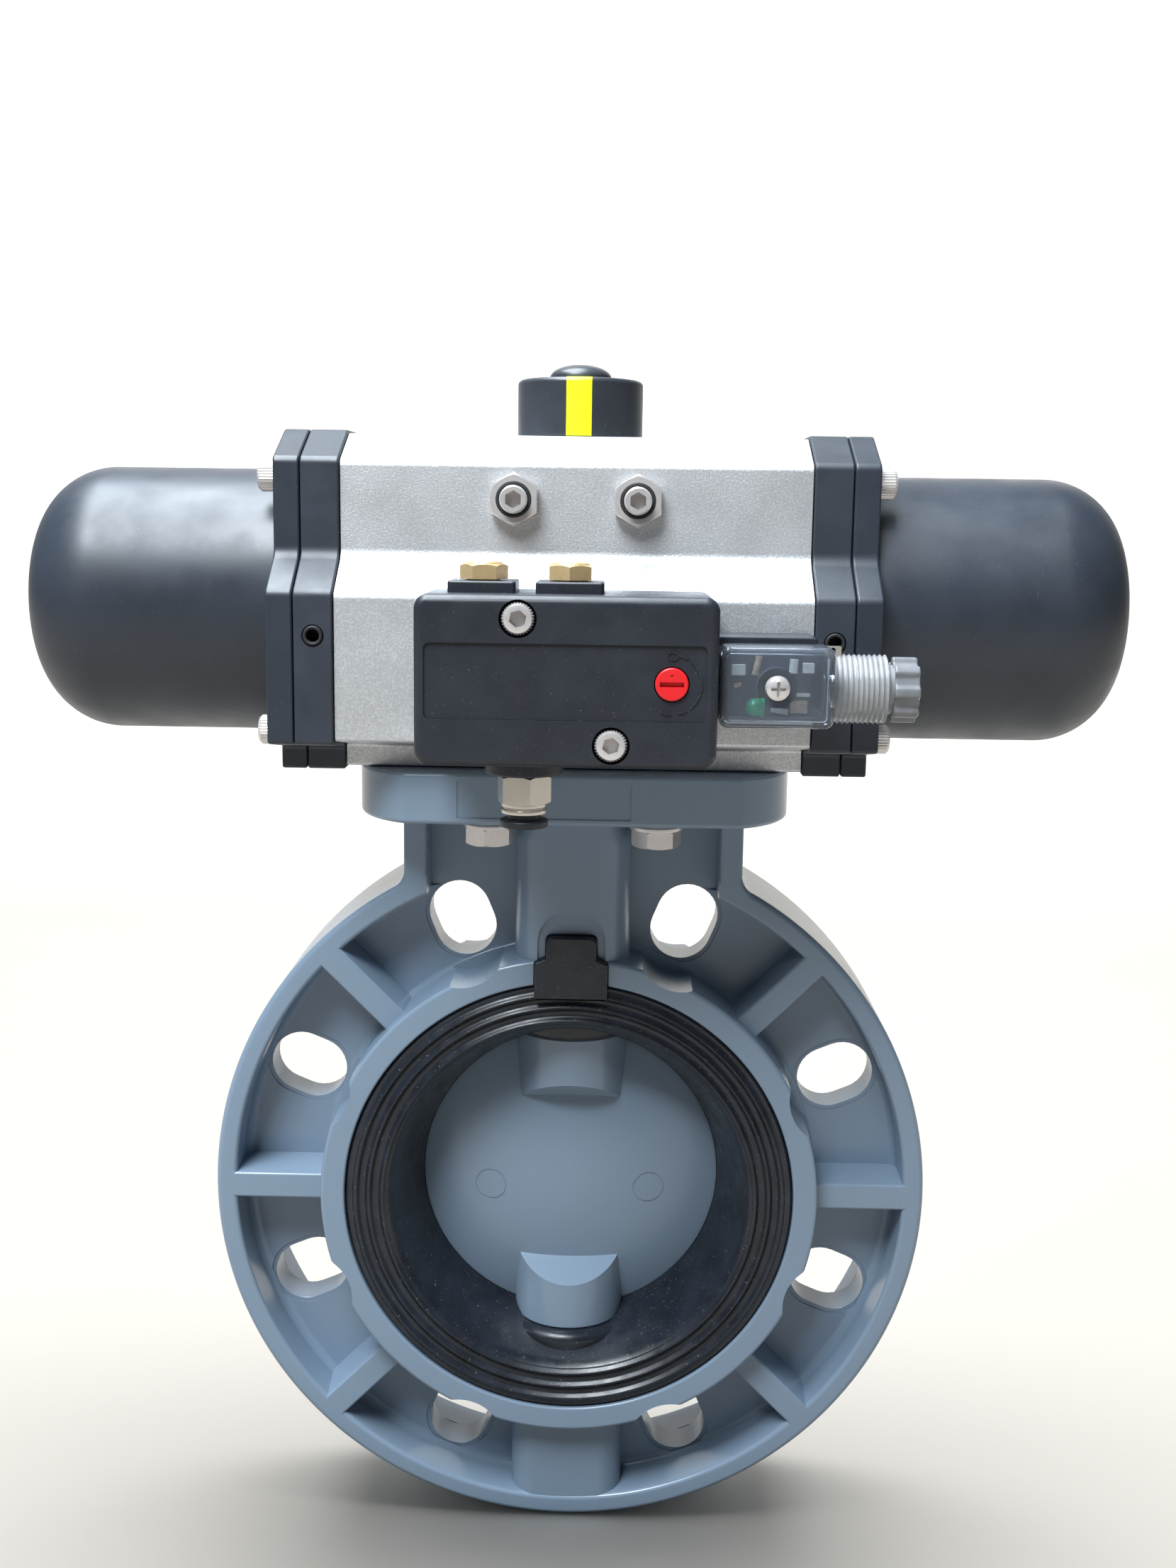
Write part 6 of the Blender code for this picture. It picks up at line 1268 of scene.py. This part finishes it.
# %% Ringed gland and lobed nut
GLAND_END, TAIL_END = PLUG_HIGH_X + 15 * MM, span("connector_housing")[1, 0]
height = np.linspace(PLUG_HIGH_X + 0.1 * MM, GLAND_END, 121)
ring = (9.35 - 0.55 * np.abs(np.sin(math.pi * (height - PLUG_HIGH_X) / (1.35 * MM))) ** 0.7) * MM
outside = paired(ring, height)
tail_profile = [(TAIL_RADIUS, GLAND_END), (TAIL_RADIUS, TAIL_END), (CORD_HOLE, TAIL_END),
                (CORD_HOLE, PLUG_HIGH_X + 0.1 * MM)]
gland = turned("ringed_gland", np.vstack([outside, tail_profile]), "X", GLAND, 96)
dressed(gland, "gland_plastic", body="housing")

nut_low, nut_high = span("gland_nut")[:, 0] + [1.1 * MM, 0]
angle = full_turn(192)
lobed = (8.0 + 0.7 * np.tanh(2.5 * np.cos(8 * angle))) * MM
nut_outline = paired(GLAND[0] + lobed * np.cos(angle), GLAND[1] + lobed * np.sin(angle))
nut = moulded("lobed_nut", nut_outline, nut_low, nut_high, "X", (0.5 * MM, 0.7 * MM))
tail_room = rod(6.9 * MM, nut_low - MM, TAIL_END + 0.3 * MM, "X", GLAND)
carved(nut, tail_room, rod(CORD_HOLE, nut_low, nut_high + MM, "X", GLAND))
dressed(nut, "gland_plastic", "gland_nut", look="nut_smoke")

# %% Screw, board, lamp and resistors
low, high = span("connector_screw")
head_radius = (high[0] - low[0]) / 2
seat = PLUG_FACE + 0.3 * MM
head_corners = [
    (0, low[1]), (head_radius * 0.55, low[1]), (head_radius * 0.9, low[1] + 0.6 * MM), (head_radius, seat),
    (1.5 * MM, seat), (1.5 * MM, high[1]), (0, high[1]),
]
plug_screw = turned("plug_screw", head_corners, "Y", PLUG_MIDDLE, 64, "drawn_in")
CROSS_LONG, CROSS_WIDE = 1.9 * MM, 0.4 * MM
bars = [box_about(PLUG_MIDDLE, a, b, 0.15 * MM) for a,
        b in ((CROSS_LONG, CROSS_WIDE), (CROSS_WIDE, CROSS_LONG))]
cross = [moulded("cross", bar, low[1] - MM, low[1] + 1.3 * MM, "Y") for bar in bars]
dressed(carved(plug_screw, *cross), "stainless", "connector_screw")

board_low, board_high = span("connector_board")
board = box_outline(board_low[0], board_high[0], board_low[2], board_high[2], 0.5 * MM)
circuit = moulded("lamp_board", board, board_low[1], board_high[1], "Y", (0.1 * MM, 0.1 * MM))
carved(circuit, rod(2.1 * MM, board_low[1] - MM, board_high[1] + MM, "Y", PLUG_MIDDLE, 32),
       rod(5.4 * MM, board_low[1] - MM, board_high[1] + MM, "Y", (board_high[0] + 1.5 * MM, GLAND[1]), 48))
dressed(circuit, "board_green", "connector_board")


# %% Small parts on the board
def bead(name, place, length, radius, slot, look, swell=0.18, tilt=0.0):
    """A small barrel lying on the board: r = R (1 + swell cos(2 pi t)^2), drawn in to a point at both
    ends."""
    t = np.concatenate([[-0.5], np.linspace(-0.5, 0.5, 21), [0.5]])
    wide = radius * (1 + swell * np.cos(2 * math.pi * t) ** 2)
    wide[[0, -1]] = 0
    turn = full_turn(24)[None, :]
    along, across = (t * length)[:, None], wide[:, None] * np.cos(turn)
    x = place[0] + along * math.cos(tilt) - across * math.sin(tilt)
    z = place[1] + along * math.sin(tilt) + across * math.cos(tilt)
    y = board_low[1] - 0.2 * MM - radius * 1.2 + wide[:, None] * np.sin(turn)
    return dressed(skin(name, placed(x, z, y, "Y"), "drawn_in"), slot, body="housing", look=look)


def chip(name, low_x, high_x, low_z, high_z, tall, slot, look):
    """A flat block standing on the board."""
    outline = box_outline(low_x * MM, high_x * MM, low_z * MM, high_z * MM, 0.25 * MM)
    foot = board_low[1] - 0.1 * MM
    piece = moulded(name, outline, foot - tall * MM, foot, "Y", (0.2 * MM, 0.0))
    return dressed(piece, slot, body="housing", look=look)


turn = quarter_turn(12)
LAMP_RADIUS, LAMP_TIP, LAMP_FOOT = 2.3 * MM, 45.6 * MM, 50.4 * MM
lamp_dome = paired(LAMP_RADIUS * np.sin(turn), LAMP_TIP + LAMP_RADIUS * (1 - np.cos(turn)))
LAMP_FLANGE = LAMP_RADIUS * 1.15
flange = [(LAMP_RADIUS, LAMP_FOOT - MM), (LAMP_FLANGE, LAMP_FOOT - MM), (LAMP_FLANGE, LAMP_FOOT),
          (0, LAMP_FOOT)]
lamp_place = (board_low[1] - LAMP_FLANGE - 0.2 * MM, 158.9 * MM)
light = turned("signal_lamp", np.vstack([lamp_dome, flange]), "X", lamp_place, 40, "drawn_in")
dressed(light, "board_green", body="housing", look="lamp_green")
bead("diode_left", (48.6 * MM, 169.6 * MM), 5.0 * MM, 0.8 * MM, "board_green", "resistor_tan", tilt=1.35)
bead("diode_low", (54.6 * MM, 157.9 * MM), 4.5 * MM, 0.7 * MM, "board_green", "chip_white", tilt=-0.15)
bead("capacitor", (58.0 * MM, 169.6 * MM), 3.6 * MM, 1.1 * MM, "board_green", "chip_white", 0.05, 1.5)
chip("chip_left", 42.0, 45.6, 167.0, 169.8, 1.4, "board_green", "chip_white")
chip("contact", 42.6, 44.6, 163.9, 165.0, 1.0, "silencer_brass", "silencer_brass")
chip("chip_right", 60.4, 63.4, 167.8, 170.4, 1.6, "board_green", "chip_white")
chip("film_block", 57.4, 61.8, 157.4, 160.6, 2.4, "board_green", "resistor_tan")
chip("bar", 58.6, 62.6, 161.6, 162.5, 1.2, "board_green", "chip_white")

# %% [markdown]
# ## Coil, terminal base and the small tab
#
# Behind the clear plug are the plain black coil and the terminal base that the plug pushes on to. They are
# moulded blocks with the holes that the plunger and the screw need.

# %% Coil and terminal base
low, high = span("coil_housing")
coil_outline = box_outline(low[0], high[0], low[2], high[2], 1.6 * MM)
coil = moulded("black_coil", coil_outline, low[1], high[1], "Y", (1.0 * MM, 0.4 * MM))
plunger = span("plunger")
plunger_room = (plunger[1, 1] - plunger[0, 1]) / 2 + 0.3 * MM
carved(coil, rod(plunger_room, low[0] - MM, plunger[1, 0] + 2.6 * MM, "X", middle_of("plunger", "X"), 40))
dressed(coil, "solenoid_plastic", "coil_housing")

low, high = span("connector_base")
base_outline = box_outline(low[0], high[0], low[2], high[2], 1.2 * MM)
base = moulded("terminal_base", base_outline, low[1], high[1], "Y", (0.4 * MM, 0.4 * MM))
carved(base, rod(1.9 * MM, low[1] - MM, high[1] + MM, "Y", PLUG_MIDDLE, 32))
dressed(base, "solenoid_plastic", "connector_base")

tab_shape = box_outline(66.6 * MM, 71.2 * MM, 171.2 * MM, 174.4 * MM, 0.3 * MM)
tab = moulded("earth_tab", tab_shape, -70.4 * MM, -69.4 * MM, "Y")
carved(tab, rod(0.8 * MM, -72 * MM, -68 * MM, "Y", (69.0 * MM, 173.2 * MM), 24))
dressed(tab, "fitting_nickel", body="housing")

# %% [markdown]
# ## The return springs
#
# A spring is a round wire carried along a helix. Its angle grows evenly, but its climb starts and
# stops slowly, so the end coils lie flat as they do on a real compression spring. Both springs are
# inside the cans. On the real actuator they shorten as the pistons move outwards and are squashed
# towards the can's closed end; here each keeps the length of its part in the working model.

# %% Helix wire
SPRING_TURNS, TURN_STEPS = 6.5, 40
COIL_RADIUS, WIRE_RADIUS = 27 * MM, 2.4 * MM


def helix_wire(name, low, high, coil_radius, wire_radius, side):
    """Rows along the wire. Each row is a circle spanned by the line from the axis and the direction that is
    square to it and to the wire: centre (x, R cos a, R sin a), x = climb(t) between the two ends."""
    t = np.linspace(0, 1, int(SPRING_TURNS * TURN_STEPS) + 1)[:, None]
    turns_flat = 1 / SPRING_TURNS
    climb = np.clip((t - turns_flat) / (1 - 2 * turns_flat), 0, 1)
    angle = 2 * math.pi * SPRING_TURNS * t * side
    centre_x = low + wire_radius + (high - low - 2 * wire_radius) * climb
    centre = np.concatenate([centre_x, coil_radius * np.cos(angle), coil_radius * np.sin(angle)], axis=1)
    ahead = np.gradient(centre, axis=0)
    ahead /= np.linalg.norm(ahead, axis=1, keepdims=True)
    out = np.concatenate([np.zeros_like(t), np.cos(angle), np.sin(angle)], axis=1)
    out -= (out * ahead).sum(axis=1, keepdims=True) * ahead
    out /= np.linalg.norm(out, axis=1, keepdims=True)
    across = np.cross(ahead, out)
    turn = full_turn(14)[None, :, None]
    rings = centre[:, None] + wire_radius * (out[:, None] * np.cos(turn) + across[:, None] * np.sin(turn))
    return skin(name, rings)


for word, side in SIDES.items():
    low, high = span(f"return_spring_{word}")
    ends = low[0] + 0.1 * MM, high[0] - 0.1 * MM
    spring = helix_wire(f"coil_spring_{word}", *ends, COIL_RADIUS, WIRE_RADIUS, side)
    spring.data.transform(Matrix.Translation((0, 0, (low[2] + high[2]) / 2)))
    dressed(spring, "spring_steel", f"return_spring_{word}")
    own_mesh(spring)

# %% [markdown]
# ## Parts that keep their shape
#
# The stem, the bushes, the pistons and a few seals are already right in the working model, and they
# are inside. They only get the same finishes as the rest.

# %% Finishes for the kept parts
SLOT_OF = {part["node"]: part["material_slot"] for part in frame["record"]["subparts"]}
stood_for = {node for piece in made for node in piece.get("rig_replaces", [])}
kept = sorted(set(BODY_OF) - stood_for)
for node in kept:
    part = bpy.data.objects[node]
    part.data.materials.clear()
    part.data.materials.append(LOOKS[SLOT_OF[node]])
print(len(kept), "parts kept:", ", ".join(kept))
